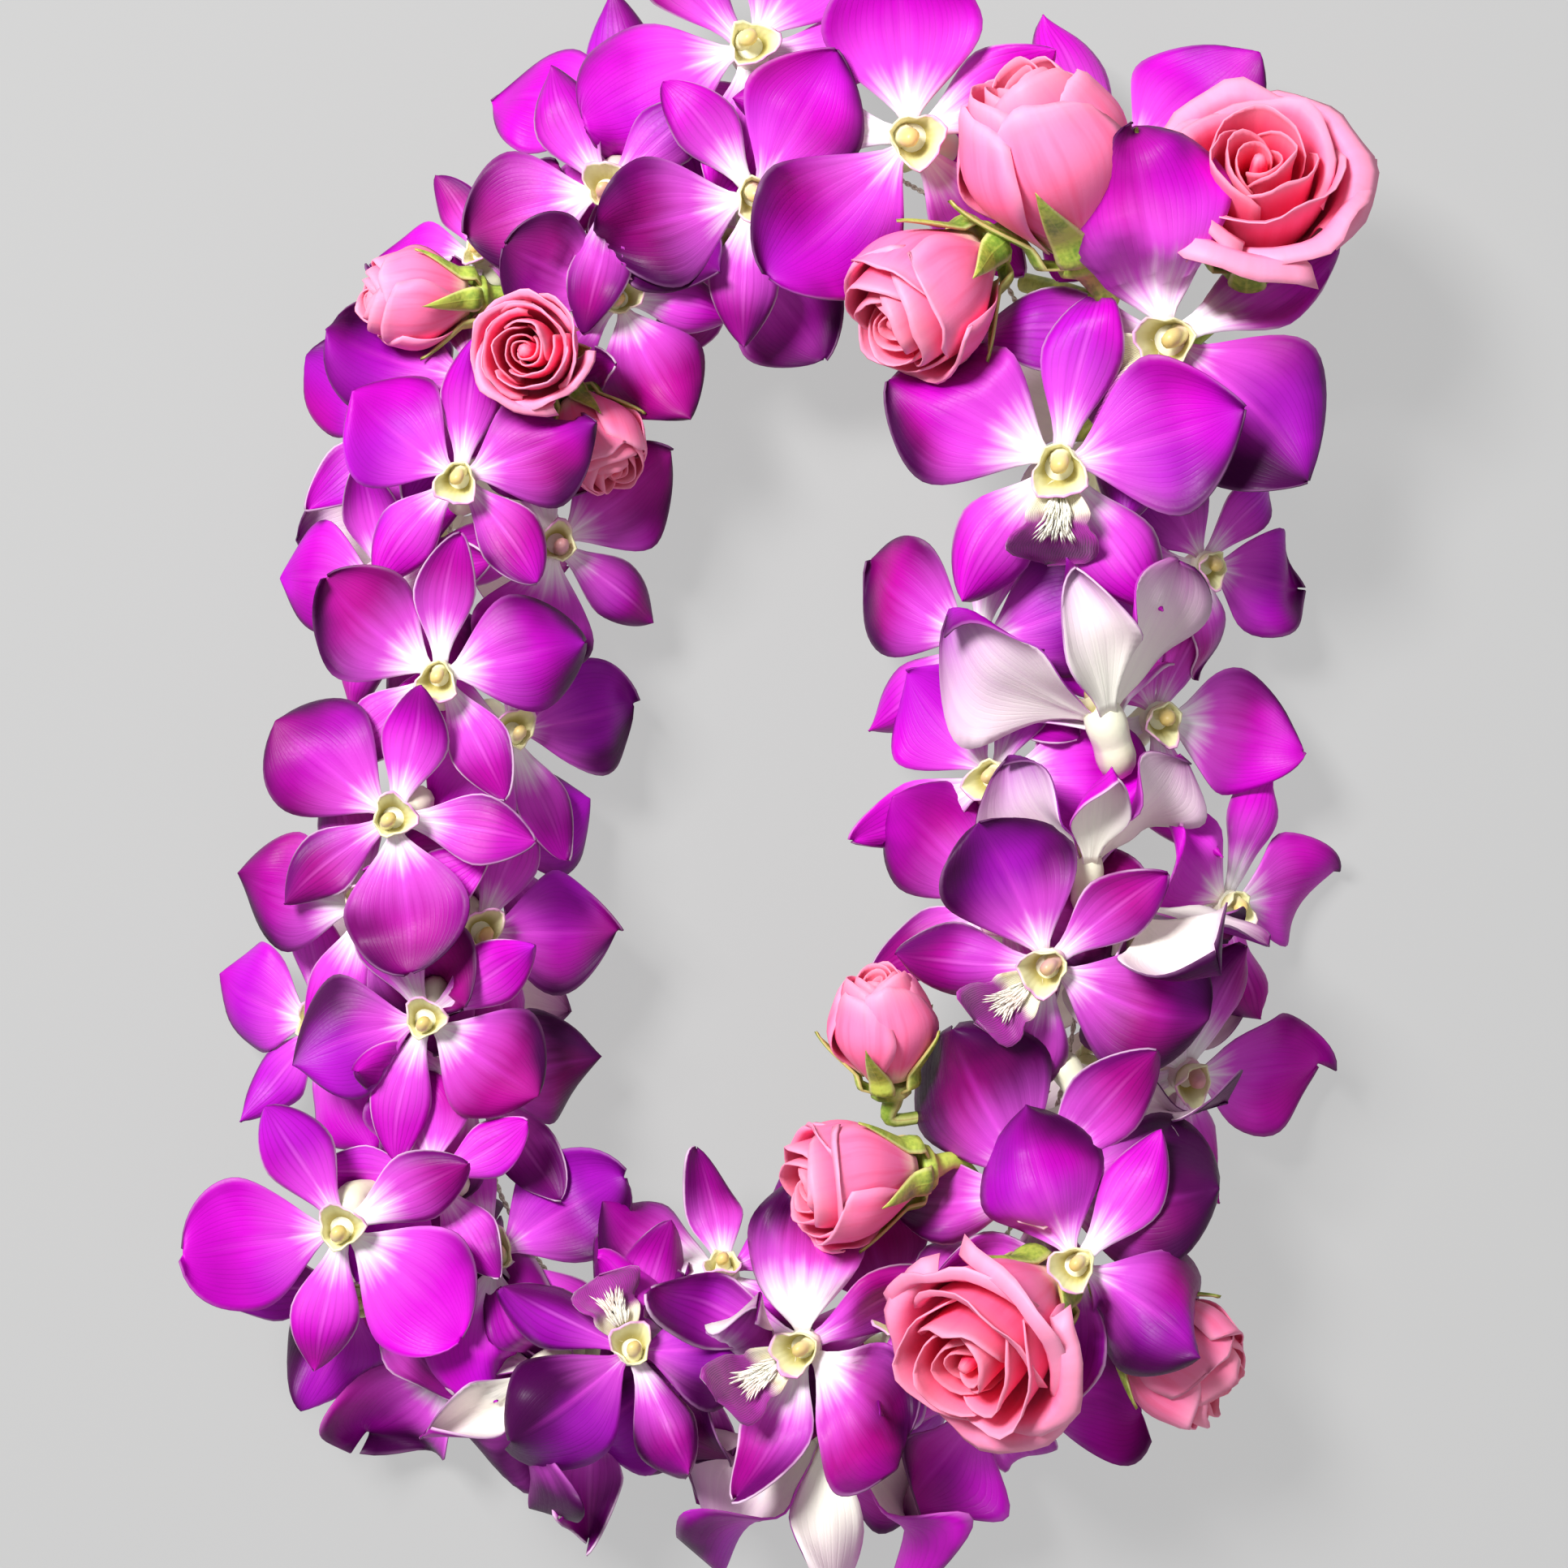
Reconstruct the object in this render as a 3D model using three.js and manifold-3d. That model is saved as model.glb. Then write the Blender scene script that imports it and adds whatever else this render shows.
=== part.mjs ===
// A garland of orchid blooms and spray roses, threaded on one string and laid flat in a closed ring.
// Millimetres, +Z up, the ring's longer side along +Y, its lowest petals on Z = 0.
// Every bloom is placed by hand in the tables below; what repeats within a bloom is made by rule.

import * as THREE from "three";
import { mergeVertices } from "three/addons/utils/BufferGeometryUtils.js";
import Module from "manifold-3d";

const wasm = await Module();
wasm.setup();

// ---- The ring -------------------------------------------------------------------------------
const RING = { x: -4, y: 1.5, z: 20, halfWidth: 66, halfLength: 123, squareness: 2.6 };
const STRING = { diameter: 1.2, sides: 4, steps: 44 };
const CLEARANCE = 0.3;

// ---- One orchid bloom, at size 1 --------------------------------------------------------------
const BLADE_THICKNESS = 0.8;
const ROOT_RADIUS = 2.5;
const HEART = { radius: 3.9, front: 1.7, back: -1.9 };
const DORSAL = { turn: 0, length: 28, halfWidth: 7, rise: 0.08, curl: 0.06, cup: -0.12, level: -0.6 };
const PETAL = { turn: 68, length: 28.5, halfWidth: 14, rise: 0.12, curl: -0.08, cup: -0.1, level: 0.6 };
const LATERAL = { turn: 138, length: 27, halfWidth: 7.2, rise: 0.03, curl: 0.06, cup: -0.12, level: -0.6 };
const LIP = { turn: 180, length: 15, halfWidth: 7.4, rise: 0.75, curl: -0.6, cup: 0.5, level: 0.9 };
// How far one blade may differ from the next: degrees, curl, twist and a share of its length.
const SPREAD = { turn: 6, curl: 0.1, twist: 0.2, length: 0.07 };
const COLUMN = { length: 7, radius: 1.6 };
const CHIN = { back: 7, down: 5, radius: 2.6 };
const PEDICEL_RADIUS = 1.5;

// ---- One spray rose, at size 1: its length from hip to tip and its radius ----------------------
const ROSE = { length: 25, radius: 11.5, thickness: 0.9 };
// The disc under the petals, and the rolled core: heights and radii as shares of the rose's own.
const ROSE_SEAT = { radius: 6.6, bottom: -0.6, top: 1.4, sides: 6 };
const ROSE_CORE = [[0, 0.14], [0.45, 0.36], [0.85, 0.28], [0.97, 0.14]];
const ROSE_CORE_SIDES = 5;
const ROSE_LAYERS = [
  { petals: 2, reach: 0.62, span: 1.6, step: 0.07, top: 1, flare: 0.2 },
  { petals: 3, reach: 0.96, span: 1.22, step: 0.11, top: 0.92, flare: 0.55 },
];
const HIP = { length: 6, radius: 4.2, top: -1.9 };
const ROSE_SEPAL = { length: 12, halfWidth: 3.1, count: 5, clear: 2.4 };
const STEM_RADIUS = 1.5;
// The room kept for a rose: height above its hip and radius there, and how much wider an open one is.
const ROSE_ROOM = [[-5, 4.5], [-3.4, 9], [8.4, 16], [14, 15.2], [20, 13.4], [25, 8]];
const ROSE_ROOM_SPREAD = 0.25;
const ROSE_ROOM_SIDES = 8;

const COLOURS = {
  orchid: { color: 0xb01ab0, roughness: 0.5, metalness: 0 },
  rose: { color: 0xff8fa8, roughness: 0.6, metalness: 0 },
  green: { color: 0x86a04a, roughness: 0.6, metalness: 0 },
  string: { color: 0xe8e4d8, roughness: 0.9, metalness: 0 },
};

// Orchid blooms. "at" is the bloom's heart, "dorsal" the way its back sepal points seen from above
// (degrees from +X), "lean" how far its face tips from straight up and towards which side. "has"
// lists its parts: D dorsal sepal, P and Q the petals left and right of it, S and R the side sepals,
// L the lip. Parts that its neighbours would press flat are left out. "slide" is how far along the
// string its stalk is tied on from the nearest point, "shut" how far its blades are raised towards its
// face, in degrees. A "joined" bloom shares the node before it.
const BLOOMS = [
  { at: [25, 124, 41], dorsal: 165, lean: [10, 250], size: 1.18, has: "DPQ" },
  { at: [-7, 143, 34], dorsal: 130, lean: [14, 90], size: 1.12, has: "DPQSR" },
  { at: [-6, 113, 39], dorsal: 124, lean: [8, 300], size: 0.98, has: "DPQ" },
  { at: [-10, 104, 28], dorsal: 247, lean: [18, 270], size: 0.92, has: "DPQ", joined: true },
  { at: [-35, 114, 38], dorsal: 262, lean: [8, 200], size: 0.95, has: "DPQ" },
  { at: [-31, 130, 27], dorsal: 235, lean: [20, 120], size: 1, has: "DQ", joined: true },
  { at: [-61, 103, 26], dorsal: 115, lean: [28, 130], size: 0.72, has: "DPQ" },
  { at: [-33, 93, 35], dorsal: 226, lean: [8, 320], size: 0.84, has: "DPQ" },
  { at: [-61, 77, 34], dorsal: 240, lean: [8, 230], size: 0.95, has: "DPQ" },
  { at: [-75, 69, 24], dorsal: 215, lean: [20, 160], size: 0.85, has: "DQ", joined: true },
  { at: [-64, 57, 41], dorsal: 84, lean: [6, 240], size: 0.92, has: "DPQSR" },
  { at: [-46, 45, 26], dorsal: 325, lean: [22, 340], size: 0.92, has: "DPQ", slide: -5 },
  { at: [-80, 36, 25], dorsal: 240, lean: [26, 190], size: 0.88, has: "DPQ" },
  { at: [-70, 52, 3.8], dorsal: 270, lean: [168, 180], size: 0.95, has: "DPQ", joined: true },
  { at: [-68, 18, 40], dorsal: 82, lean: [6, 240], size: 0.9, has: "DPQSR" },
  { at: [-55, 7, 25], dorsal: 300, lean: [30, 0], size: 0.9, has: "DPQ" },
  { at: [-77, -10, 42], dorsal: 215, lean: [6, 220], size: 0.96, has: "DPQS" },
  { at: [-59, -17, 24], dorsal: 320, lean: [36, 0], size: 0.84, has: "DPQ", joined: true },
  { at: [-83, -28, 35], dorsal: 243, lean: [8, 220], size: 0.92, has: "DPQ" },
  { at: [-61, -33, 29], dorsal: 290, lean: [24, 350], size: 0.94, has: "DPQ", joined: true },
  { at: [-71, -50, 37], dorsal: 255, lean: [8, 260], size: 0.92, has: "DPQ" },
  { at: [-94, -52, 22], dorsal: 225, lean: [30, 190], size: 0.88, has: "DPQ" },
  { at: [-74, -44, 3.8], dorsal: 280, lean: [168, 180], size: 0.95, has: "DPQ", joined: true },
  { at: [-70, -82, 34], dorsal: 168, lean: [10, 120], size: 0.8, has: "DPQ" },
  { at: [-62, -64, 27], dorsal: 310, lean: [26, 0], size: 0.9, has: "DPQ", joined: true },
  { at: [-87, -91, 41], dorsal: 254, lean: [6, 230], size: 1.02, has: "DPQS" },
  { at: [-85, -106, 28], dorsal: 310, lean: [20, 240], size: 0.9, has: "DQ", joined: true },
  { at: [-58, -98, 30], dorsal: 330, lean: [24, 60], size: 0.95, has: "DPQ" },
  { at: [-66, -121, 22], dorsal: 285, lean: [32, 240], size: 0.95, has: "DQ" },
  { at: [-49, -121, 30], dorsal: 215, lean: [116, 215], size: 0.9, has: "DPQ", joined: true, shut: 38 },
  { at: [-30, -115, 41], dorsal: 292, lean: [16, 60], size: 0.92, has: "DPQL", shut: 4 },
  { at: [-39, -126, 29], dorsal: 270, lean: [30, 262], size: 1.02, has: "DPQ", joined: true, shut: 8 },
  { at: [4, -114, 42], dorsal: 27, lean: [14, 190], size: 0.98, has: "DPQL", shut: 4 },
  { at: [-17, -120, 32], dorsal: 272, lean: [36, 262], size: 1, has: "DPQ", joined: true, shut: 10 },
  { at: [9, -133, 31], dorsal: 268, lean: [112, 266], size: 1.12, has: "DPQ", shut: 42 },
  { at: [7, -143, 19], dorsal: 276, lean: [46, 272], size: 0.9, has: "DPQ", shut: 10 },
  { at: [-12, -101, 31], dorsal: 95, lean: [52, 95], size: 0.85, has: "DPQ", shut: 12 },
  { at: [23, -110, 35], dorsal: 50, lean: [30, 115], size: 0.86, has: "DPQ", joined: true, shut: 6 },
  { at: [42, -127, 22], dorsal: 300, lean: [44, 300], size: 0.98, has: "DPQ", shut: 10 },
  { at: [57, -97, 50], dorsal: 45, lean: [10, 120], size: 0.98, has: "DPQ" },
  { at: [60, -66, 36], dorsal: 300, lean: [112, 290], size: 0.95, has: "DPQ", shut: 36 },
  { at: [50, -83, 43], dorsal: 58, lean: [8, 200], size: 1.16, has: "DPS" },
  { at: [52, -39, 43], dorsal: 40, lean: [8, 220], size: 1.02, has: "DPQL" },
  { at: [70, -30, 36], dorsal: 330, lean: [100, 300], size: 0.92, has: "DPQ", joined: true, shut: 34 },
  { at: [81, -62, 23], dorsal: 60, lean: [34, 330], size: 1, has: "DPQ" },
  { at: [66, -52, 3.8], dorsal: 90, lean: [168, 0], size: 0.95, has: "DPQ", joined: true },
  { at: [90, -28, 19], dorsal: 70, lean: [38, 350], size: 0.9, has: "DQ", joined: true },
  { at: [44, -28, 30], dorsal: 62, lean: [20, 180], size: 0.98, has: "DP" },
  { at: [42, -2, 30], dorsal: 62, lean: [20, 180], size: 0.95, has: "DPS", joined: true },
  { at: [39, 25, 28], dorsal: 84, lean: [20, 190], size: 0.95, has: "DPS" },
  { at: [63, 10, 40], dorsal: 112, lean: [104, 114], size: 1.15, has: "DPQ", shut: 38 },
  { at: [60, -19, 37], dorsal: 95, lean: [100, 96], size: 0.9, has: "DPQ", joined: true, shut: 42 },
  { at: [54, 59, 46], dorsal: 84, lean: [6, 220], size: 1.18, has: "DPQSL" },
  { at: [76, 84, 43], dorsal: 45, lean: [8, 230], size: 1.26, has: "DPQL" },
  { at: [68, 122, 24], dorsal: 110, lean: [20, 60], size: 1.15, has: "DPQ", slide: 14 },
  { at: [75, 10, 25], dorsal: 62, lean: [26, 350], size: 0.98, has: "DQ" },
  { at: [85, 41, 22], dorsal: 50, lean: [34, 350], size: 0.85, has: "DPQ" },
  { at: [66, 70, 3.8], dorsal: 90, lean: [168, 0], size: 0.95, has: "DPQ", joined: true },
];

// Spray roses. "at" is the hip's top, where the petals start, "axis" the way the rose points (degrees
// from +X, degrees above level), "spin" its turn round that axis, "open" how far its petals spread.
// A rose is a head of petals and a green part, each a node of its own.
const ROSES = [
  { at: [-63, 94, 32], axis: [185, 12], spin: 40, size: 0.88, open: 0.2 },
  { at: [-47, 82, 36], axis: [200, 78], spin: 10, size: 0.84, open: 0.5, slide: -5 },
  { at: [-42, 73, 29], axis: [300, 20], spin: 80, size: 0.82, open: 0.2 },
  { at: [58, 104, 44], axis: [116, 24], spin: 0, size: 1.48, open: 0.1 },
  { at: [93, 103, 34], axis: [96, 60], spin: 120, size: 1.34, open: 0.8, slide: -30 },
  { at: [38, 101, 40], axis: [222, 26], spin: 60, size: 1.22, open: 0.35 },
  { at: [21, -62, 31], axis: [98, 18], spin: 30, size: 0.94, open: 0.1, slide: 5 },
  { at: [25, -80, 37], axis: [188, 22], spin: 90, size: 1.06, open: 0.35 },
  { at: [50, -103, 42], axis: [218, 46], spin: 15, size: 1.36, open: 0.6 },
  { at: [68, -110, 32], axis: [325, 16], spin: 70, size: 1.08, open: 0.25 },
];

const DEGREE = Math.PI / 180;

// Where each kind of blade has its cross rows, from root to tip.
const SEPAL_ROWS = [0, 0.45, 1];
const PETAL_ROWS = [0, 0.35, 0.72, 0.98];
const LOW_PETAL_ROWS = [0, 0.46, 0.93];
const LIP_ROWS = [0, 0.5, 1];
const LOW = 42;  // a bloom whose heart is lower than this has plainer petals
const ROSE_ROWS = [0, 0.5, 1];
const ROSE_SMALL = 1;  // a rose smaller than this has plainer petals

/** A repeatable value from -1 to 1 for a pair of numbers. */
function jitter(first, second) {
  const wave = Math.sin(first * 12.9898 + second * 78.233) * 43758.5453;
  return 2 * (wave - Math.floor(wave)) - 1;
}

function power(value, exponent) {
  return Math.sign(value) * Math.abs(value) ** exponent;
}

/** The string's centre line: a rounded rectangle, met counter-clockwise. */
function ringPoint(turn) {
  const exponent = 2 / RING.squareness;
  return new THREE.Vector3(
    RING.x + RING.halfWidth * power(Math.cos(turn), exponent),
    RING.y + RING.halfLength * power(Math.sin(turn), exponent),
    RING.z,
  );
}

/** The corners of the string's centre line. */
const STRING_LINE = Array.from(
  { length: STRING.steps }, (_, step) => ringPoint((step / STRING.steps) * 2 * Math.PI));

function nearestOnString(point) {
  return STRING_LINE
    .map((corner, at) => new THREE.Line3(corner, STRING_LINE[(at + 1) % STRING.steps]))
    .map((stretch) => stretch.closestPointToPoint(point, true, new THREE.Vector3()))
    .reduce((best, next) => (next.distanceToSquared(point) < best.distanceToSquared(point) ? next : best));
}

/** The point beside the string where a stalk of this radius ends; "slide" moves it along the string. */
function tiePoint(heart, radius, slide = 0) {
  const seat = nearestOnString(heart.clone().setY(heart.y + slide));
  const outward = heart.clone().sub(seat).setZ(0);
  if (outward.length() < 1) outward.copy(seat).setZ(0);
  return outward.setLength(STRING.diameter / 2 + CLEARANCE + 0.8 * radius).add(seat);
}

/** An indexed geometry turned into a closed solid that can be joined and cut. */
function toSolid(geometry) {
  const bare = geometry.clone();
  bare.deleteAttribute("normal");
  bare.deleteAttribute("uv");
  const merged = mergeVertices(bare, 1e-4);
  return new wasm.Manifold(new wasm.Mesh({
    numProp: 3,
    vertProperties: Float32Array.from(merged.attributes.position.array),
    triVerts: Uint32Array.from(merged.index.array),
  }));
}

function toGeometry(solid) {
  const mesh = solid.getMesh();
  const geometry = new THREE.BufferGeometry();
  geometry.setAttribute("position", new THREE.BufferAttribute(Float32Array.from(mesh.vertProperties), 3));
  geometry.setIndex(new THREE.BufferAttribute(Uint32Array.from(mesh.triVerts), 1));
  geometry.computeVertexNormals();
  return geometry;
}

/** The largest connected piece, with any sealed hollow inside it filled. */
function largest(solid) {
  return solid.decompose().reduce((best, piece) => (piece.volume() > best.volume() ? piece : best));
}

function unite(solids) {
  return solids.length > 0 ? wasm.Manifold.union(solids) : wasm.Manifold.compose([]);
}

/**
 * A thin blade: surface(a, b) gives its middle, a from root to tip and b from -1 to 1 across. Both
 * faces share one grid and one way of splitting it. "rows" lists the values of a; a last row at 1
 * with "pointed" set closes to a single point.
 */
function blade(surface, rows, columns, thickness, pointed) {
  const points = [];
  const last = rows.length - (pointed ? 2 : 1);
  const step = 0.01;
  const put = (a, b) => {
    const middle = surface(a, b);
    const along = surface(a + step, b).sub(surface(a - step, b));
    const across = surface(a, b + step).sub(surface(a, b - step));
    const normal = along.cross(across).normalize().multiplyScalar(thickness / 2);
    points.push(middle.clone().add(normal), middle.clone().sub(normal));
  };
  for (const a of rows.slice(0, last + 1)) {
    for (let column = 0; column <= columns; column++) put(a, (2 * column) / columns - 1);
  }
  if (pointed) put(1 - step, 0);
  const width = columns + 1;
  const tip = points.length / 2 - 1;
  const faces = [];
  const rim = [];
  for (let row = 0; row < last; row++) {
    const low = row * width;
    const high = low + width;
    for (let column = 0; column < columns; column++) {
      faces.push([low + column, high + column, low + column + 1]);
      faces.push([low + column + 1, high + column, high + column + 1]);
    }
    rim.push([high, low], [low + columns, high + columns]);
  }
  for (let column = 0; column < columns; column++) {
    const corner = last * width + column;
    rim.push([column, column + 1]);
    if (pointed) faces.push([corner, tip, corner + 1]);
    else rim.push([corner + 1, corner]);
  }
  if (pointed) rim.push([tip, last * width], [last * width + columns, tip]);
  const index = [];
  for (const [p, q, r] of faces) index.push(2 * p, 2 * q, 2 * r, 2 * p + 1, 2 * r + 1, 2 * q + 1);
  for (const [p, q] of rim) index.push(2 * p, 2 * q, 2 * p + 1, 2 * q, 2 * q + 1, 2 * p + 1);
  return closed(points, index);
}

/** A solid from corner points and triangles, turned the right way out. */
function closed(points, index) {
  const geometry = new THREE.BufferGeometry();
  const places = points.flatMap((p) => p.toArray());
  geometry.setAttribute("position", new THREE.Float32BufferAttribute(places, 3));
  geometry.setIndex(index);
  const solid = toSolid(geometry);
  if (solid.volume() > 0) return solid;
  const turned = index.map((_, at) => index[at - (at % 3) + (2 - (at % 3))]);
  geometry.setIndex(turned);
  return toSolid(geometry);
}

/** A bar with flat sides through the centres, each with its own radius; one flat faces "towards". */
function bar(centres, radii, sides, towards) {
  const points = [];
  const index = [];
  let side = towards;
  centres.forEach((centre, ring) => {
    const before = centres[Math.max(ring - 1, 0)];
    const after = centres[Math.min(ring + 1, centres.length - 1)];
    const along = after.clone().sub(before).normalize();
    side = side.clone().addScaledVector(along, -side.dot(along)).normalize();
    const other = along.clone().cross(side);
    for (let corner = 0; corner < sides; corner++) {
      const angle = ((corner + 0.5) / sides) * 2 * Math.PI;
      points.push(centre.clone()
        .addScaledVector(side, radii[ring] * Math.cos(angle))
        .addScaledVector(other, radii[ring] * Math.sin(angle)));
      const next = (corner + 1) % sides;
      if (ring === 0) continue;
      const low = (ring - 1) * sides;
      const high = ring * sides;
      index.push(low + corner, low + next, high + corner, low + next, high + next, high + corner);
    }
  });
  const top = (centres.length - 1) * sides;
  for (let corner = 1; corner < sides - 1; corner++) {
    index.push(0, corner + 1, corner, top, top + corner, top + corner + 1);
  }
  return closed(points, index);
}

function petalOutline(a) {
  const widest = 0.6;
  if (a > widest) return Math.sqrt(Math.max(0, 1 - ((a - widest) / (1.001 - widest)) ** 2));
  const t = Math.max(0, a / widest);
  return 0.09 + 0.91 * (t * t * (3 - 2 * t)) ** 0.75;
}

function sepalOutline(a) {
  return Math.max(0, Math.sin(Math.PI * (0.07 + 0.93 * Math.min(Math.max(a, 0), 1)))) ** 0.9;
}

function lipOutline(a) {
  return 0.16 + 0.9 * Math.sin(Math.PI * 0.5 * Math.min(Math.max(a, 0), 1)) ** 0.8;
}

/** The turned frame of a bloom: its heart, the way it faces, its dorsal side and its left. */
function bloomFrame(bloom) {
  const [tip, towards] = bloom.lean.map((angle) => angle * DEGREE);
  const face = new THREE.Vector3(
    Math.sin(tip) * Math.cos(towards), Math.sin(tip) * Math.sin(towards), Math.cos(tip));
  const dorsal = new THREE.Vector3(Math.cos(bloom.dorsal * DEGREE), Math.sin(bloom.dorsal * DEGREE), 0);
  dorsal.addScaledVector(face, -dorsal.dot(face)).normalize();
  const left = face.clone().cross(dorsal);
  const heart = new THREE.Vector3(...bloom.at);
  const place = (x, y, z) => heart.clone()
    .addScaledVector(dorsal, x * bloom.size)
    .addScaledVector(left, y * bloom.size)
    .addScaledVector(face, z * bloom.size);
  return { heart, face, dorsal, place };
}

/** The middle surface of one sepal, petal or lip, in the bloom's frame, raised by the angle shut. */
function tepalSurface(place, shape, outline, turn, shut, seed, grow) {
  const angle = (turn + SPREAD.turn * jitter(seed, 1)) * DEGREE;
  const curl = shape.curl + SPREAD.curl * jitter(seed, 2);
  const twist = SPREAD.twist * jitter(seed, 3);
  const length = shape.length * (1 + SPREAD.length * jitter(seed, 4));
  const [level, raise] = [Math.cos(shut * DEGREE), Math.sin(shut * DEGREE)];
  return (a, b) => {
    const reach = length * a + grow * (2 * a - 1);
    const wide = b * (shape.halfWidth * outline(a) + grow);
    const lift = shape.level + length * (shape.rise * a + curl * a * a)
      + shape.cup * shape.halfWidth * b * b * outline(a) + twist * wide * a;
    const out = ROOT_RADIUS + reach * level - lift * raise;
    const high = reach * raise + lift * level;
    return place(
      Math.cos(angle) * out - Math.sin(angle) * wide,
      Math.sin(angle) * out + Math.cos(angle) * wide,
      high,
    );
  };
}

/** Pressed by the weight above it, a petal lies flat where it meets the ground. */
function pressed(surface, thickness) {
  return (a, b) => {
    const point = surface(a, b);
    point.z = Math.max(point.z, thickness / 2);
    return point;
  };
}

/** The sepals, petals and lip of a bloom; grow makes them fatter all round. */
function orchidBlades(bloom, grow) {
  const { place } = bloomFrame(bloom);
  const thickness = BLADE_THICKNESS + 2 * grow;
  const petalRows = bloom.at[2] < LOW ? LOW_PETAL_ROWS : PETAL_ROWS;
  const tepals = {
    D: [DORSAL, sepalOutline, DORSAL.turn, SEPAL_ROWS],
    P: [PETAL, petalOutline, PETAL.turn, petalRows],
    Q: [PETAL, petalOutline, -PETAL.turn, petalRows],
    S: [LATERAL, sepalOutline, -LATERAL.turn, SEPAL_ROWS],
    R: [LATERAL, sepalOutline, LATERAL.turn, SEPAL_ROWS],
    L: [LIP, lipOutline, LIP.turn, LIP_ROWS],
  };
  return [...bloom.has].map((letter) => {
    const [shape, outline, turn, rows] = tepals[letter];
    const seed = 10 * bloom.number + letter.charCodeAt(0);
    const surface = tepalSurface(place, shape, outline, turn, bloom.shut ?? 0, seed, grow);
    const sepal = outline === sepalOutline;
    return blade(pressed(surface, thickness), rows, sepal ? 1 : 2, thickness, sepal);
  });
}

/** The column, the heart, the chin behind it and the stalk down to the string, as one bar. */
function orchidStalk(bloom, tie, grow) {
  const { heart, face, dorsal, place } = bloomFrame(bloom);
  const chin = heart.clone().addScaledVector(face, -CHIN.back * bloom.size)
    .addScaledVector(dorsal, -CHIN.down * bloom.size);
  const centres = [
    place(-2, 0, COLUMN.length), place(0, 0, HEART.front), place(0, 0, HEART.back), chin, tie,
  ];
  const radii = [COLUMN.radius, HEART.radius, HEART.radius, CHIN.radius, PEDICEL_RADIUS]
    .map((radius) => radius * bloom.size + grow);
  centres.forEach((point, at) => { point.z = Math.max(point.z, radii[at]); });
  return bar(centres, radii, 5, dorsal);
}

function roseFrame(rose) {
  const [towards, above] = rose.axis.map((angle) => angle * DEGREE);
  const axis = new THREE.Vector3(
    Math.cos(above) * Math.cos(towards), Math.cos(above) * Math.sin(towards), Math.sin(above));
  const across = new THREE.Vector3(-Math.sin(towards), Math.cos(towards), 0);
  const other = axis.clone().cross(across);
  const base = new THREE.Vector3(...rose.at);
  const place = (radius, angle, height) => base.clone()
    .addScaledVector(across, radius * rose.size * Math.cos(angle))
    .addScaledVector(other, radius * rose.size * Math.sin(angle))
    .addScaledVector(axis, height * rose.size);
  return { base, axis, across, place };
}

/** How far a rose petal stands from the axis at height a, from 0 at the hip to 1 at the rim. */
function roseProfile(a, flare) {
  return 0.42 + 0.58 * Math.sin(Math.PI * Math.min(1, 0.04 + 0.7 * a)) ** 1.4 + flare * a ** 4;
}

/** The pink head: a rolled heart and cupped petals, each with one edge under the next. */
function roseHead(rose, grow) {
  const { place, across } = roseFrame(rose);
  const upright = (rings, sides) => bar(
    rings.map(([height]) => place(0, 0, height)),
    rings.map(([, radius]) => radius * rose.size + grow), sides, across);
  const core = ROSE_CORE.map(([height, radius]) => [height * ROSE.length, radius * ROSE.radius]);
  const seat = [[ROSE_SEAT.bottom, ROSE_SEAT.radius], [ROSE_SEAT.top, ROSE_SEAT.radius]];
  const solids = [upright(seat, ROSE_SEAT.sides), upright(core, ROSE_CORE_SIDES)];
  const columns = rose.size < ROSE_SMALL ? 2 : 3;
  for (const layer of ROSE_LAYERS) {
    for (let petal = 0; petal < layer.petals; petal++) {
      const middle = rose.spin * DEGREE + (petal / layer.petals) * 2 * Math.PI
        + 0.15 * jitter(petal, rose.spin);
      const flare = rose.open * layer.flare;
      const top = ROSE.length * (layer.top - 0.3 * flare);
      const surface = (a, b) => {
        const narrow = 0.5 + 0.5 * Math.sin(Math.PI * 0.5 * Math.min(1, Math.max(a, 0) * 1.6));
        const radius = ROSE.radius * roseProfile(Math.max(a, 0), flare) * (layer.reach + layer.step * b);
        return place(radius, middle + b * layer.span * narrow, top * (a - 0.1 * b * b * a) + 0.4);
      };
      solids.push(blade(surface, ROSE_ROWS, columns, ROSE.thickness + 2 * grow, false));
    }
  }
  return solids;
}

/** The hip and the cut stem that runs from it to the string. */
function roseStem(rose, grow) {
  const { base, axis, across, place } = roseFrame(rose);
  const foot = base.clone().addScaledVector(axis, -(HIP.length + 4) * rose.size);
  const centres = [
    place(0, 0, HIP.top), place(0, 0, HIP.top - HIP.length * 0.5), place(0, 0, -HIP.length), foot,
    tiePoint(base, STEM_RADIUS * rose.size, rose.slide),
  ];
  const radii = [HIP.radius, HIP.radius * 1.1, HIP.radius * 0.5, STEM_RADIUS, STEM_RADIUS]
    .map((radius) => radius * rose.size + grow);
  centres.forEach((point, at) => { point.z = Math.max(point.z, radii[at]); });
  return bar(centres, radii, ROSE_SEPAL.count, across);
}

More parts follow.
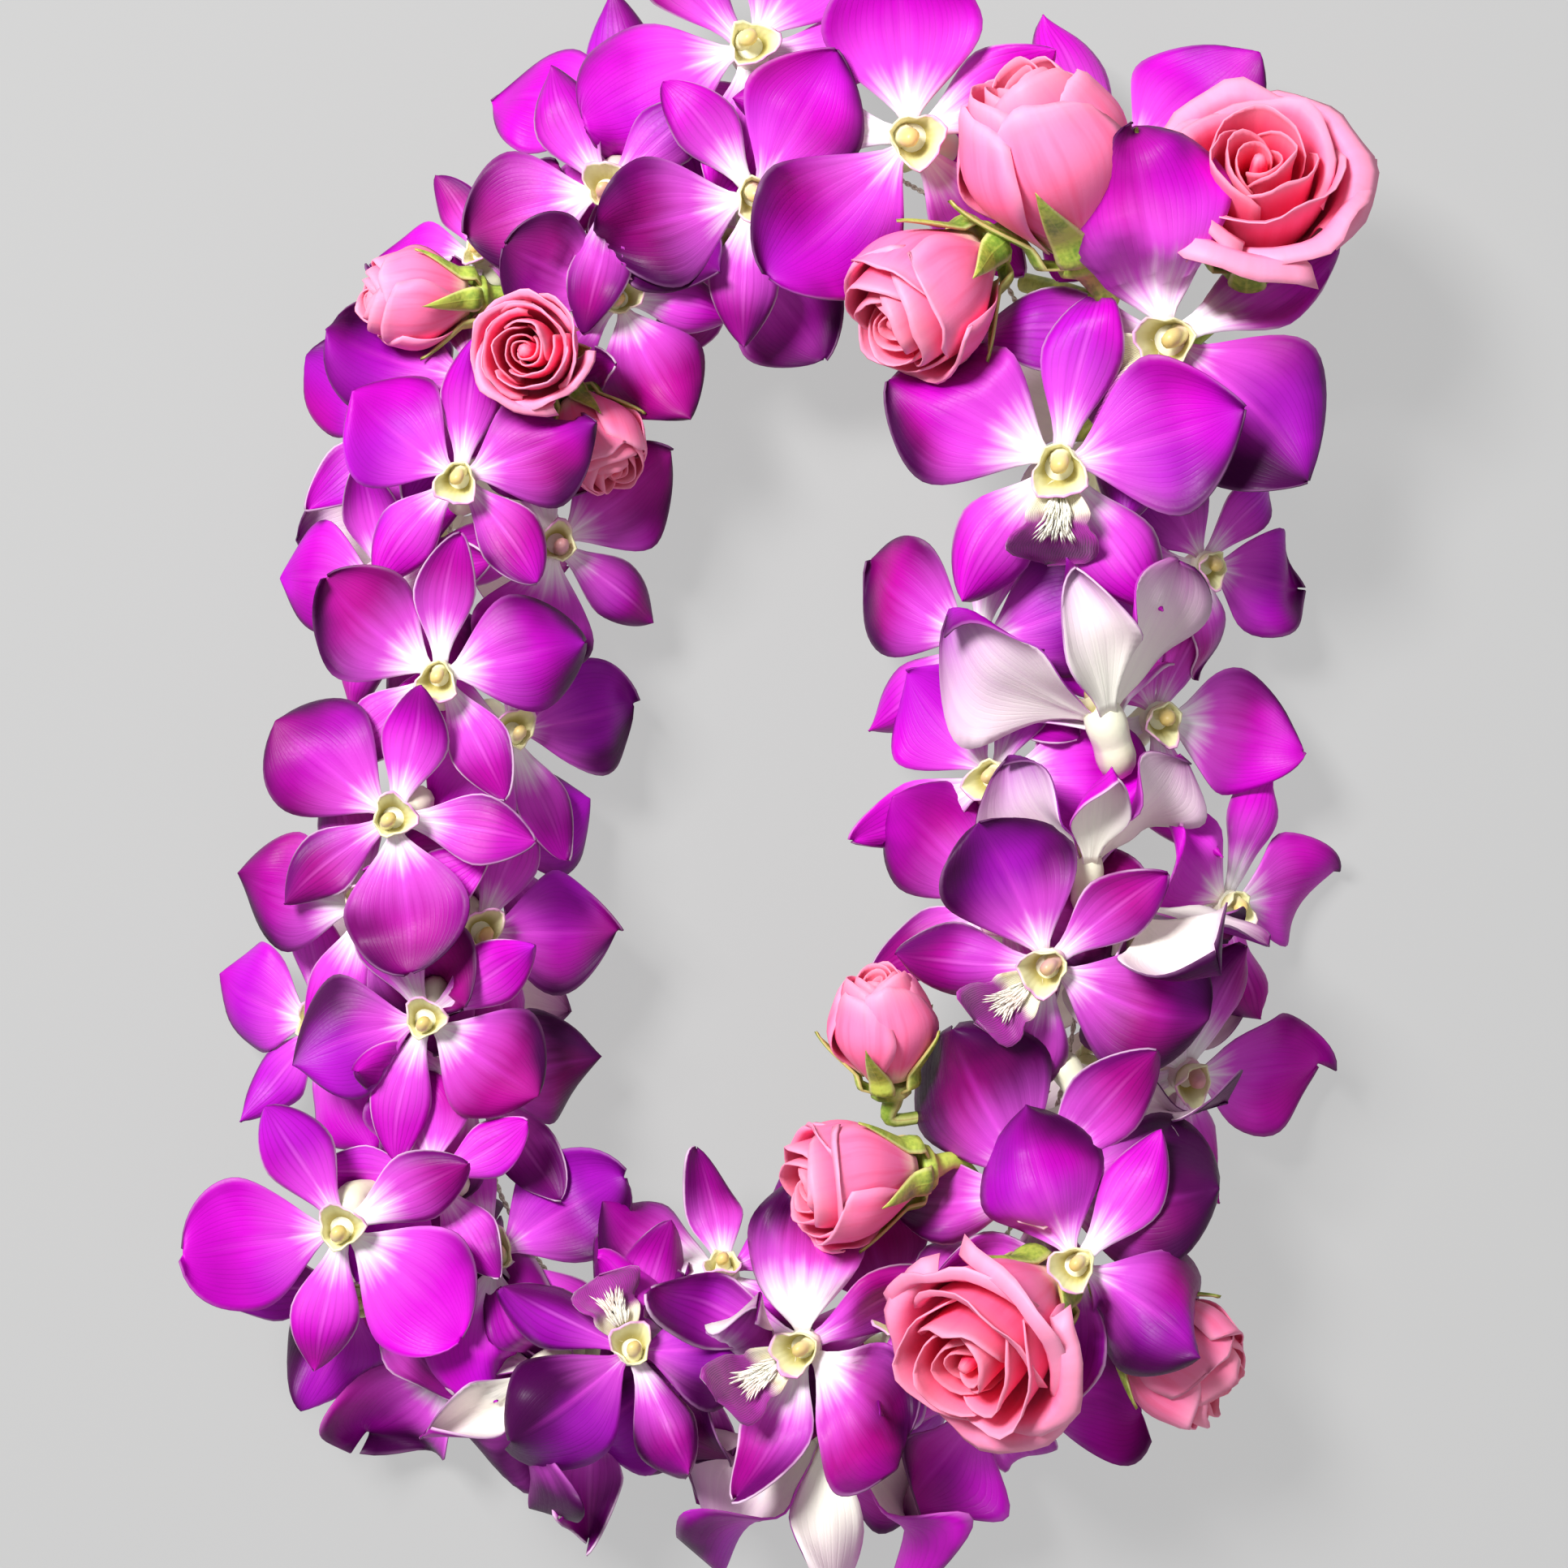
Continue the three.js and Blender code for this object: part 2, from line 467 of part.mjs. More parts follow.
/** The five sepals against the petals. */
function roseSepals(rose, grow) {
  const { place } = roseFrame(rose);
  const solids = [];
  for (let sepal = 0; sepal < ROSE_SEPAL.count; sepal++) {
    const middle = (sepal / ROSE_SEPAL.count) * 2 * Math.PI + 0.1 * jitter(rose.number, sepal);
    const reflex = 0.4 + 1.4 * Math.abs(jitter(sepal, rose.number));
    const surface = (a, b) => {
      const height = HIP.top - HIP.length * 0.3 + ROSE_SEPAL.length * Math.max(a, 0);
      const cheek = ROSE.radius * 1.07 * roseProfile(Math.max(0, height / ROSE.length), 0.55 * rose.open);
      const outside = Math.max(ROSE_SEAT.radius, cheek) + ROSE_SEPAL.clear;
      const out = outside * Math.min(1, 0.4 + 4 * Math.max(a, 0)) + reflex * a * a;
      const half = ROSE_SEPAL.halfWidth * sepalOutline(0.2 + 0.8 * a) + grow;
      return place(out, middle + (b * half) / out, height);
    };
    solids.push(blade(surface, SEPAL_ROWS, 1, BLADE_THICKNESS + 2 * grow, true));
  }
  return solids;
}

/** The plain room that a rose takes up, which its neighbours' petals keep out of. */
function roseRoom(rose, grow) {
  const { across, place } = roseFrame(rose);
  const centres = ROSE_ROOM.map(([height]) => place(0, 0, height));
  const spread = (1 + ROSE_ROOM_SPREAD * rose.open) * rose.size;
  return bar(centres, ROSE_ROOM.map(([, radius]) => radius * spread + grow), ROSE_ROOM_SIDES, across);
}

/** The closed loop of string, grown by the clearance where it is cut out of what it threads. */
function stringLoop(radius) {
  const points = [];
  const index = [];
  const up = new THREE.Vector3(0, 0, 1);
  for (let step = 0; step < STRING.steps; step++) {
    const turn = (step / STRING.steps) * 2 * Math.PI;
    const centre = ringPoint(turn);
    const along = ringPoint(turn + 0.01).sub(ringPoint(turn - 0.01)).normalize();
    const out = along.cross(up);
    const next = ((step + 1) % STRING.steps) * STRING.sides;
    for (let corner = 0; corner < STRING.sides; corner++) {
      const angle = (corner / STRING.sides) * 2 * Math.PI;
      points.push(centre.clone().addScaledVector(out, radius * Math.cos(angle))
        .addScaledVector(up, radius * Math.sin(angle)));
      const here = step * STRING.sides;
      const beside = (corner + 1) % STRING.sides;
      index.push(here + corner, here + beside, next + corner, here + beside, next + beside, next + corner);
    }
  }
  return closed(points, index);
}

function named(name, solid, colour) {
  const mesh = new THREE.Mesh(toGeometry(solid), new THREE.MeshStandardMaterial(COLOURS[colour]));
  mesh.name = name;
  return mesh;
}

function near(first, second) {
  const one = first.boundingBox();
  const two = second.boundingBox();
  return [0, 1, 2].every((axis) => one.min[axis] <= two.max[axis] && two.min[axis] <= one.max[axis]);
}

function carve(solid, rooms) {
  return rooms.reduce((left, room) => (near(left, room) ? left.subtract(room) : left), solid);
}

/**
 * Fits the pieces round each other. A stalk gives way only to the stalks of earlier pieces; a blade
 * gives way to every other piece's stalk and to the blades of earlier pieces.
 */
function nest(pieces, thread) {
  const stalks = pieces.map((piece) => unite(piece.stalks(CLEARANCE)));
  const blades = pieces.map((piece) => piece.room ?? unite(piece.blades(CLEARANCE)));
  return pieces.map((piece, at) => {
    const earlier = (_, other) => other < at;
    const stalk = carve(unite(piece.stalks(0)), [thread, ...stalks.filter(earlier)]);
    const leaves = carve(unite(piece.blades(0)), [
      thread, ...stalks.filter((_, other) => other !== at), ...blades.filter(earlier),
    ]);
    return largest(stalk.add(leaves));
  });
}

/** Blooms pressed together grow into one node; "joined" ones belong to the bloom before them. */
function bloomNodes() {
  const nodes = [];
  BLOOMS.forEach((bloom, at) => {
    const placed = { ...bloom, number: at + 1 };
    if (bloom.joined) nodes.at(-1).push(placed);
    else nodes.push([placed]);
  });
  return nodes;
}

// Rose heads are fitted first and keep their whole shape, then their green parts, then the blooms
// from the highest down.
const HEAD_FIRST = 200;
const GREEN_NEXT = 100;

const label = (number) => String(number).padStart(2, "0");
const pieces = [];
ROSES.forEach((each, at) => {
  const rose = { ...each, number: at + 1 };
  const name = `rose_${label(rose.number)}`;
  const head = (grow) => roseHead(rose, grow);
  const sepals = (grow) => [unite(roseSepals(rose, grow)).intersect(roseRoom(rose, -CLEARANCE))];
  const stem = (grow) => [roseStem(rose, grow)];
  const room = roseRoom(rose, 0);
  pieces.push({ name: `${name}_head`, colour: "rose", high: HEAD_FIRST, stalks: () => [], blades: head });
  pieces.push(
    { name: `${name}_green`, colour: "green", high: GREEN_NEXT, stalks: stem, blades: sepals, room });
});
for (const blooms of bloomNodes()) {
  const [first] = blooms;
  const tie = tiePoint(new THREE.Vector3(...first.at), PEDICEL_RADIUS * first.size, first.slide);
  pieces.push({
    name: `orchid_${label(first.number)}`,
    colour: "orchid",
    high: Math.max(...blooms.map((bloom) => bloom.at[2])),
    stalks: (grow) => blooms.map((bloom) => orchidStalk(bloom, tie, grow)),
    blades: (grow) => blooms.flatMap((bloom) => orchidBlades(bloom, grow)),
  });
}
pieces.sort((first, second) => second.high - first.high);

const wreath = new THREE.Group();
wreath.add(named("string_loop", stringLoop(STRING.diameter / 2), "string"));
const solids = nest(pieces, stringLoop(STRING.diameter / 2 + CLEARANCE));
pieces.forEach((piece, at) => wreath.add(named(piece.name, solids[at], piece.colour)));

// The origin is the middle of the footprint, on the ground.
const box = new THREE.Box3().setFromObject(wreath, true);
const origin = box.getCenter(new THREE.Vector3()).setZ(box.min.z);
for (const mesh of wreath.children) mesh.geometry.translate(-origin.x, -origin.y, -origin.z);

export default wreath;
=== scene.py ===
"""A garland of dendrobium orchids and spray roses in a closed ring, dressed petal by petal.

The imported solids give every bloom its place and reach. This script replaces each of them with thin
curved petals, lips, columns and stalks, gives them their finishes, and sets the floor, the lights and
the camera.
Lengths are in millimetres until a mesh is finished; then it is moved into the frame's metres.
"""

import logging
import math
from dataclasses import dataclass, field
from enum import Enum
from typing import Callable, Iterable, Sequence

import bmesh
import bpy
from mathutils import Matrix, Vector
from mathutils.bvhtree import BVHTree


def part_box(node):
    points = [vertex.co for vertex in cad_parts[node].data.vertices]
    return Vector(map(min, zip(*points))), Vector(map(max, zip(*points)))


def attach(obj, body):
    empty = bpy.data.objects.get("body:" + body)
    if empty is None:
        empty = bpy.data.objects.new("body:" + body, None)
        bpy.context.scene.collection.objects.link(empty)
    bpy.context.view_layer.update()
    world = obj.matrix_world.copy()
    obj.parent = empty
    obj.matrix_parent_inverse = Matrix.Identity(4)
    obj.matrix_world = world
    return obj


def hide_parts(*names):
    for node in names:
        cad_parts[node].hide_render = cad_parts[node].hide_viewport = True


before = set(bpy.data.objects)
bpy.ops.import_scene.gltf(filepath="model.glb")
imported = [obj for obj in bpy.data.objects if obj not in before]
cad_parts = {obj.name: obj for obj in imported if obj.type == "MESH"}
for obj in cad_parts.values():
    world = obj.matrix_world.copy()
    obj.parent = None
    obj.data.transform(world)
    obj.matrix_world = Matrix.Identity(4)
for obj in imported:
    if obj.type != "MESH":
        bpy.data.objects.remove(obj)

log = logging.getLogger("garland")

MILLIMETRE = 0.001
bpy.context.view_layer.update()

UP = Vector((0, 0, 1))
DOWN = Vector((0, 0, -1))

Surface = Callable[[float, float], Vector]
Paint = tuple[float, float, float, float]


# ---- The garland's plan ------------------------------------------------------------------------


@dataclass(frozen=True)
class Ring:
    """The string's centre line, a rounded rectangle, and how it is cut into straight stretches."""

    x: float = -4
    y: float = 1.5
    z: float = 20
    half_width: float = 66
    half_length: float = 123
    squareness: float = 2.6
    string_diameter: float = 1.2
    clearance: float = 0.3
    seated: float = 0.8
    steps: int = 44

    def point(self, turn: float) -> Vector:
        """The centre line's point at an angle, met counter-clockwise.

        Args:
            turn: Angle in radians.

        Returns:
            The point, in millimetres.
        """
        exponent = 2 / self.squareness

        def power(value: float) -> float:
            """The value's size raised to the exponent, with its sign."""
            return math.copysign(abs(value) ** exponent, value)

        return Vector((
            self.x + self.half_width * power(math.cos(turn)),
            self.y + self.half_length * power(math.sin(turn)),
            self.z,
        ))

    def corners(self) -> list[Vector]:
        """The corners between the string's straight stretches."""
        return [self.point(math.tau * step / self.steps) for step in range(self.steps)]

    def tie(self, heart: Vector, radius: float, slide: float) -> Vector:
        """The point beside the string where a stalk ends.

        Args:
            heart: What the stalk carries.
            radius: The stalk's radius.
            slide: How far along Y the stalk is tied on from the nearest point.

        Returns:
            The middle of the stalk's end.
        """
        start = Vector((heart.x, heart.y + slide, heart.z))
        corners = self.corners()
        seats = []
        for corner, following in zip(corners, corners[1:] + corners[:1]):
            along = following - corner
            share = max(0.0, min(1.0, (start - corner).dot(along) / along.length_squared))
            seats.append(corner + along * share)
        seat = min(seats, key=lambda point: (point - start).length_squared)
        outward = heart - seat
        outward.z = 0
        if outward.length < 1:
            outward = Vector((seat.x, seat.y, 0))
        beside = self.string_diameter / 2 + self.clearance + self.seated * radius
        return seat + outward.normalized() * beside


RING = Ring()


@dataclass(frozen=True)
class Bloom:
    """One orchid bloom.

    Its heart, the way its back sepal points, its lean (from upright, and towards), its size, and the
    blades that the solid has (C is the brush of hairs). It may share the node of the bloom before,
    be tied on further along the string, be half shut, and have blades that lie over the roses.
    """

    at: tuple[float, float, float]
    dorsal: float
    lean: tuple[float, float]
    size: float
    has: str
    joined: bool = False
    slide: float = 0
    shut: float = 0
    over: str = ""


@dataclass(frozen=True)
class Rose:
    """One spray rose: its hip's top, axis (towards, above level), spin, size, openness and slide."""

    at: tuple[float, float, float]
    axis: tuple[float, float]
    spin: float
    size: float
    open: float
    slide: float = 0


BLOOMS = [
    Bloom((25, 124, 41), 165, (10, 250), 1.18, "DPQ"),
    Bloom((-7, 143, 34), 130, (14, 90), 1.12, "DPQSR"),
    Bloom((-6, 113, 39), 124, (8, 300), 0.98, "DPQ"),
    Bloom((-10, 104, 28), 247, (18, 270), 0.92, "DPQ", True),
    Bloom((-35, 114, 38), 262, (8, 200), 0.95, "DPQ"),
    Bloom((-31, 130, 27), 235, (20, 120), 1, "DQ", True),
    Bloom((-61, 103, 26), 115, (28, 130), 0.72, "DPQ"),
    Bloom((-33, 93, 35), 226, (8, 320), 0.84, "DPQ"),
    Bloom((-61, 77, 34), 240, (8, 230), 0.95, "DPQ"),
    Bloom((-75, 69, 24), 215, (20, 160), 0.85, "DQ", True),
    Bloom((-64, 57, 41), 84, (6, 240), 0.92, "DPQSR"),
    Bloom((-46, 45, 26), 325, (22, 340), 0.92, "DPQ", slide=-5),
    Bloom((-80, 36, 25), 240, (26, 190), 0.88, "DPQ"),
    Bloom((-70, 52, 3.8), 270, (168, 180), 0.95, "DPQ", True),
    Bloom((-68, 18, 40), 82, (6, 240), 0.9, "DPQSR"),
    Bloom((-55, 7, 25), 300, (30, 0), 0.9, "DPQ"),
    Bloom((-77, -10, 42), 215, (6, 220), 0.96, "DPQS"),
    Bloom((-59, -17, 24), 320, (36, 0), 0.84, "DPQ", True),
    Bloom((-83, -28, 35), 243, (8, 220), 0.92, "DPQ"),
    Bloom((-61, -33, 29), 290, (24, 350), 0.94, "DPQ", True),
    Bloom((-71, -50, 37), 255, (8, 260), 0.92, "DPQ"),
    Bloom((-94, -52, 22), 225, (30, 190), 0.88, "DPQ"),
    Bloom((-74, -44, 3.8), 280, (168, 180), 0.95, "DPQ", True),
    Bloom((-70, -82, 34), 168, (10, 120), 0.8, "DPQ"),
    Bloom((-62, -64, 27), 310, (26, 0), 0.9, "DPQ", True),
    Bloom((-87, -91, 41), 254, (6, 230), 1.02, "DPQS"),
    Bloom((-85, -106, 28), 310, (20, 240), 0.9, "DQ", True),
    Bloom((-58, -98, 30), 330, (24, 60), 0.95, "DPQ"),
    Bloom((-66, -121, 22), 285, (32, 240), 0.95, "DQ"),
    Bloom((-49, -121, 30), 215, (116, 215), 0.9, "DPQ", True, shut=38),
    Bloom((-30, -115, 41), 292, (16, 60), 0.92, "DPQLC", shut=4),
    Bloom((-39, -126, 29), 270, (30, 262), 1.02, "DPQ", True, shut=8),
    Bloom((4, -114, 42), 27, (14, 190), 0.98, "DPQLC", shut=4),
    Bloom((-17, -120, 32), 272, (36, 262), 1, "DPQ", True, shut=10),
    Bloom((9, -133, 31), 268, (112, 266), 1.12, "DPQ", shut=42),
    Bloom((7, -143, 19), 276, (46, 272), 0.9, "DPQ", shut=10),
    Bloom((-12, -101, 31), 95, (52, 95), 0.85, "DPQ", shut=12),
    Bloom((23, -110, 35), 50, (30, 115), 0.86, "DPQ", True, shut=6),
    Bloom((42, -127, 22), 300, (44, 300), 0.98, "DPQ", shut=10),
    Bloom((57, -97, 50), 45, (10, 120), 0.98, "DPQ"),
    Bloom((60, -66, 36), 300, (112, 290), 0.95, "DPQ", shut=36),
    Bloom((50, -83, 43), 58, (8, 200), 1.16, "DPS"),
    Bloom((52, -39, 43), 40, (8, 220), 1.02, "DPQLC"),
    Bloom((70, -30, 36), 330, (100, 300), 0.92, "DPQ", True, shut=34),
    Bloom((81, -62, 23), 60, (34, 330), 1, "DPQ"),
    Bloom((66, -52, 3.8), 90, (168, 0), 0.95, "DPQ", True),
    Bloom((90, -28, 19), 70, (38, 350), 0.9, "DQ", True),
    Bloom((44, -28, 30), 62, (20, 180), 0.98, "DP"),
    Bloom((42, -2, 30), 62, (20, 180), 0.95, "DPS", True),
    Bloom((39, 25, 28), 84, (20, 190), 0.95, "DPS"),
    Bloom((63, 10, 40), 112, (104, 114), 1.15, "DPQ", shut=38),
    Bloom((60, -19, 37), 95, (100, 96), 0.9, "DPQ", True, shut=42),
    Bloom((54, 59, 46), 84, (6, 220), 1.18, "DPQSLC"),
    Bloom((76, 84, 43), 33, (8, 230), 1.26, "DPQL", over="P"),
    Bloom((68, 122, 24), 110, (20, 60), 1.15, "DPQ", slide=14),
    Bloom((75, 10, 25), 62, (26, 350), 0.98, "DQ"),
    Bloom((85, 41, 22), 50, (34, 350), 0.85, "DPQ"),
    Bloom((66, 70, 3.8), 90, (168, 0), 0.95, "DPQ", True),
]

ROSES = [
    Rose((-63, 94, 32), (185, 12), 40, 0.88, 0.2),
    Rose((-47, 82, 36), (200, 78), 10, 0.84, 0.5, slide=-5),
    Rose((-42, 73, 29), (300, 20), 80, 0.82, 0.2),
    Rose((58, 104, 44), (116, 24), 0, 1.48, 0.1),
    Rose((93, 103, 34), (96, 60), 120, 1.34, 0.8, slide=-30),
    Rose((38, 101, 40), (222, 26), 60, 1.22, 0.35),
    Rose((21, -62, 31), (98, 18), 30, 0.94, 0.1, slide=5),
    Rose((25, -80, 37), (188, 22), 90, 1.06, 0.35),
    Rose((50, -103, 42), (218, 46), 15, 1.36, 0.6),
    Rose((68, -110, 32), (325, 16), 70, 1.08, 0.25),
]


def jitter(first: float, second: float) -> float:
    """A repeatable value from -1 to 1 for a pair of numbers."""
    wave = math.sin(first * 12.9898 + second * 78.233) * 43758.5453
    return 2 * (wave - math.floor(wave)) - 1


def smooth(low: float, high: float, value: float) -> float:
    """A smooth step from 0 at low to 1 at high."""
    share = max(0.0, min(1.0, (value - low) / (high - low)))
    return share * share * (3 - 2 * share)


def row_matrix() -> Matrix:
    """The move from the plan's millimetres to the frame's metres, read from where the string lies."""
    low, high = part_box("string_loop")
    middle = (low + high) / 2
    planned = Vector((RING.x, RING.y, RING.z)) * MILLIMETRE
    return Matrix.Translation(middle - planned) @ Matrix.Scale(MILLIMETRE, 4)


# ---- Finishes ------------------------------------------------------------------------------------


def paint(red: int, green: int, blue: int) -> Paint:
    """A colour as a shader wants it.

    Args:
        red: Red as it is seen on a screen, 0 to 255.
        green: Green, likewise.
        blue: Blue, likewise.

    Returns:
        The scene's linear red, green and blue, and full opacity.
    """

    def linear(level: int) -> float:
        """One screen level as linear light."""
        share = level / 255
        return share / 12.92 if share <= 0.04045 else ((share + 0.055) / 1.055) ** 2.4

    return linear(red), linear(green), linear(blue), 1.0


LEAF_MAP = "leaf"
TONE = "tone"
PALE = "pale"
MIX_FACTOR, MIX_FIRST, MIX_SECOND, MIX_COLOUR = 0, 6, 7, 2


class Wire:
    """A node's output that can be added, multiplied and raised to a power as if it were a number."""

    def __init__(self, recipe: "Recipe", socket: bpy.types.NodeSocket) -> None:
        """Keeps the socket and the recipe it belongs to."""
        self.recipe = recipe
        self.socket = socket

    def _math(self, operation: str, *values: "Wire | float", clamp: bool = False) -> "Wire":
        """One Math node on the given values."""
        inputs = dict(enumerate(values))
        settings = {"operation": operation, "use_clamp": clamp}
        return self.recipe.node("ShaderNodeMath", settings, inputs)

    def __add__(self, other: "Wire | float") -> "Wire":
        """Sum."""
        return self._math("ADD", self, other)

    __radd__ = __add__

    def __mul__(self, other: "Wire | float") -> "Wire":
        """Product."""
        return self._math("MULTIPLY", self, other)

    __rmul__ = __mul__

    def __sub__(self, other: "Wire | float") -> "Wire":
        """Difference."""
        return self._math("SUBTRACT", self, other)

    def __rsub__(self, other: float) -> "Wire":
        """Difference from a number."""
        return self._math("SUBTRACT", other, self)

    def __pow__(self, exponent: float) -> "Wire":
        """Power of a value that is never negative."""
        return self._math("POWER", self, exponent)

    def size(self) -> "Wire":
        """Absolute value."""
        return self._math("ABSOLUTE", self)

    def fraction(self) -> "Wire":
        """What is left over the whole number below."""
        return self._math("FRACT", self)

    def clamped(self) -> "Wire":
        """Held between 0 and 1."""
        return self._math("ADD", self, 0.0, clamp=True)

    def step(self, low: float, high: float) -> "Wire":
        """A smooth step from 0 at low to 1 at high; low may be the larger."""
        ends = {"Value": self, "From Min": low, "From Max": high, "To Min": 0.0, "To Max": 1.0}
        return self.recipe.node("ShaderNodeMapRange", {"interpolation_type": "SMOOTHSTEP"}, ends)


class Recipe:
    """A material under construction."""

    def __init__(self, name: str) -> None:
        """Starts an empty material with a Principled shader on its output."""
        self.material = bpy.data.materials.new(name)
        self.material.use_nodes = True
        self.tree = self.material.node_tree
        self.tree.nodes.clear()
        self.shader = self.tree.nodes.new("ShaderNodeBsdfPrincipled")
        output = self.tree.nodes.new("ShaderNodeOutputMaterial")
        self.tree.links.new(self.shader.outputs[0], output.inputs["Surface"])

    def node(self, kind: str, settings: dict | None = None, inputs: dict | None = None,
             output: int | str = 0) -> Wire:
        """Makes one node.

        Args:
            kind: The node's type.
            settings: Its settings, set first. "stops" fills a colour ramp.
            inputs: Values or wires for its sockets, by name or place.
            output: Which output to hand back.

        Returns:
            The output as a wire.
        """
        made = self.tree.nodes.new(kind)
        for key, value in (settings or {}).items():
            if key == "stops":
                ramp = made.color_ramp.elements
                while len(ramp) < len(value):
                    ramp.new(0.5)
                for element, (place, colour) in zip(ramp, value):
                    element.position = place
                    element.color = colour
            else:
                setattr(made, key, value)
        for key, value in (inputs or {}).items():
            self._plug(made.inputs[key], value)
        return Wire(self, made.outputs[output])

    def _plug(self, socket: bpy.types.NodeSocket, value: "Wire | float | tuple") -> None:
        """Links a wire to a socket, or sets the socket's own value."""
        if isinstance(value, Wire):
            self.tree.links.new(value.socket, socket)
        else:
            socket.default_value = value

    def mix(self, factor: Wire | float, first: Wire | tuple, second: Wire | tuple) -> Wire:
        """A colour between two, by a factor from 0 to 1."""
        inputs = {MIX_FACTOR: factor, MIX_FIRST: first, MIX_SECOND: second}
        return self.node("ShaderNodeMix", {"data_type": "RGBA"}, inputs, MIX_COLOUR)

    def noise(self, scale: float, detail: float = 2, where: Wire | None = None) -> Wire:
        """Soft noise round 0.5, on the object's own coordinates unless told otherwise."""
        place = where or self.node("ShaderNodeTexCoord", output="Object")
        inputs = {"Vector": place, "Scale": scale, "Detail": detail}
        return self.node("ShaderNodeTexNoise", None, inputs)

    def value(self, name: str) -> Wire:
        """A number that the mesh carries at each point."""
        return self.node("ShaderNodeAttribute", {"attribute_name": name}, output="Fac")

    def along_and_across(self) -> tuple[Wire, Wire]:
        """How far a point is from root to tip, 0 to 1, and across, -1 to 1."""
        across = self.node("ShaderNodeSeparateXYZ", None, {"Vector": self._leaf()})
        along = Wire(self, across.socket.node.outputs["Y"])
        return along, across * 2.0 - 1.0

    def _leaf(self) -> Wire:
        """The petal map."""
        return self.node("ShaderNodeUVMap", {"uv_map": LEAF_MAP})

    def streaks(self, across: float, along: float, detail: float) -> Wire:
        """Noise drawn out from root to tip, with its scale each way and its detail."""
        inputs = {"Vector": self._leaf(), "Scale": (across, along, 1.0)}
        return self.noise(1.0, detail, self.node("ShaderNodeMapping", None, inputs))

    def bump(self, height: Wire, strength: float, distance: float) -> Wire:
        """A bump for the shader's normal; the distance is in metres."""
        inputs = {"Height": height, "Strength": strength, "Distance": distance}
        return self.node("ShaderNodeBump", None, inputs)

    def finish(self, **sockets: "Wire | float | tuple") -> bpy.types.Material:
        """Fills the shader's sockets, with underscores in place of spaces, and returns the material."""
        for name, value in sockets.items():
            self._plug(self.shader.inputs[name.replace("_", " ")], value)
        return self.material


@dataclass(frozen=True)
class PetalFinish:
    """One side of an orchid's petal or sepal.

    It is white at the root, glows and turns vivid, with clouds of deeper, warmer and cooler colour,
    darkens to the margin, and has veins, a rib and a pale rim.
    """

    name: str
    vivid: Paint
    deep: Paint
    margin: Paint
    root: Paint = paint(250, 244, 250)
    glow: Paint = paint(222, 84, 220)
    root_from: float = 0.0
    root_to: float = 0.27
    glow_to: float = 0.58
    rib: Paint = paint(214, 60, 208)
    rim: Paint = paint(240, 176, 236)
    vein_count: float = 13
    vein_strength: float = 0.12
    rim_strength: float = 0.16
    roughness: float = 0.46
    warm: Paint = paint(176, 10, 128)
    cool: Paint = paint(160, 20, 190)
    gloss: float = 0.16
    bump: float = 0.18

    def make(self) -> bpy.types.Material:
        """Builds the material."""
        recipe = Recipe(self.name)
        along, across = recipe.along_and_across()
        tone = recipe.value(TONE)
        pale = recipe.value(PALE)
        cloud = recipe.noise(55, 2)
        streak = recipe.streaks(13.0, 1.4, 2)
        drift = recipe.noise(26, 1)
        body = recipe.mix(((cloud - 0.5) * 1.8 + tone * 0.6 + 0.4).clamped(), self.vivid, self.deep)
        body = recipe.mix((drift + tone * 0.16).step(0.5, 0.74) * 0.75, body, self.warm)
        body = recipe.mix((drift + pale * 0.14).step(0.47, 0.3) * 0.6, body, self.cool)
        edge = across.size() ** 2.0 * 0.6 + along ** 3.0 * 0.5 + across * pale * 0.45 + tone * 0.5
        body = recipe.mix((edge + (cloud - 0.5) * 1.1).step(0.15, 1.1), body, self.margin)
        lines = ((across + (streak - 0.5) * 0.14) * self.vein_count).fraction() - 0.5
        vein = lines.size().step(0.2, 0.0) * along.step(0.02, 0.3) * across.size().step(1.0, 0.7)
        body = recipe.mix(vein * self.vein_strength, body, self.margin)
        rib = across.size().step(0.09, 0.0) * along.step(0.9, 0.2)
        body = recipe.mix(rib * 0.4, body, self.rib)
        reach = along - pale * 0.08 + (streak - 0.5) * 0.22 + across.size() * 0.08
        body = recipe.mix(reach.step(self.glow_to, self.root_to * 0.6) * 0.75, body, self.glow)
        body = recipe.mix(reach.step(self.root_to, self.root_from), body, self.root)
        rim = across.size().step(0.93, 1.0) * along.step(0.1, 0.3) * cloud.step(0.3, 0.6)
        body = recipe.mix(rim * self.rim_strength, body, self.rim)
        cells = recipe.noise(1800, 1)
        height = vein * -0.4 + rib * -0.6 + cells * 0.25 + streak * 0.5
        return recipe.finish(
            Base_Color=body, Roughness=(cells * 0.2 + (self.roughness - 0.1)).clamped(),
            Normal=recipe.bump(height, self.bump, 0.0004), Specular_IOR_Level=self.gloss,
        )


@dataclass(frozen=True)
class StalkFinish:
    """An orchid's waxy chin and stalk, its column or its hairs: light, then shaded, with a blush."""

    name: str
    light: Paint
    shade: Paint
    blush: Paint
    roughness: float = 0.4

    def make(self) -> bpy.types.Material:
        """Builds the material."""
        recipe = Recipe(self.name)
        along, _ = recipe.along_and_across()
        cloud = recipe.noise(160, 3)
        lines = recipe.noise(900, 1)
        colour = recipe.mix((along + (cloud - 0.5) * 0.5).step(0.25, 0.95), self.light, self.shade)
        blush = (recipe.noise(90, 1) + recipe.value(TONE) * 0.12).step(0.56, 0.72)
        colour = recipe.mix(blush * 0.6, colour, self.blush)
        return recipe.finish(
            Base_Color=colour, Roughness=self.roughness,
            Normal=recipe.bump(lines * 0.5 + cloud, 0.25, 0.0003),
        )


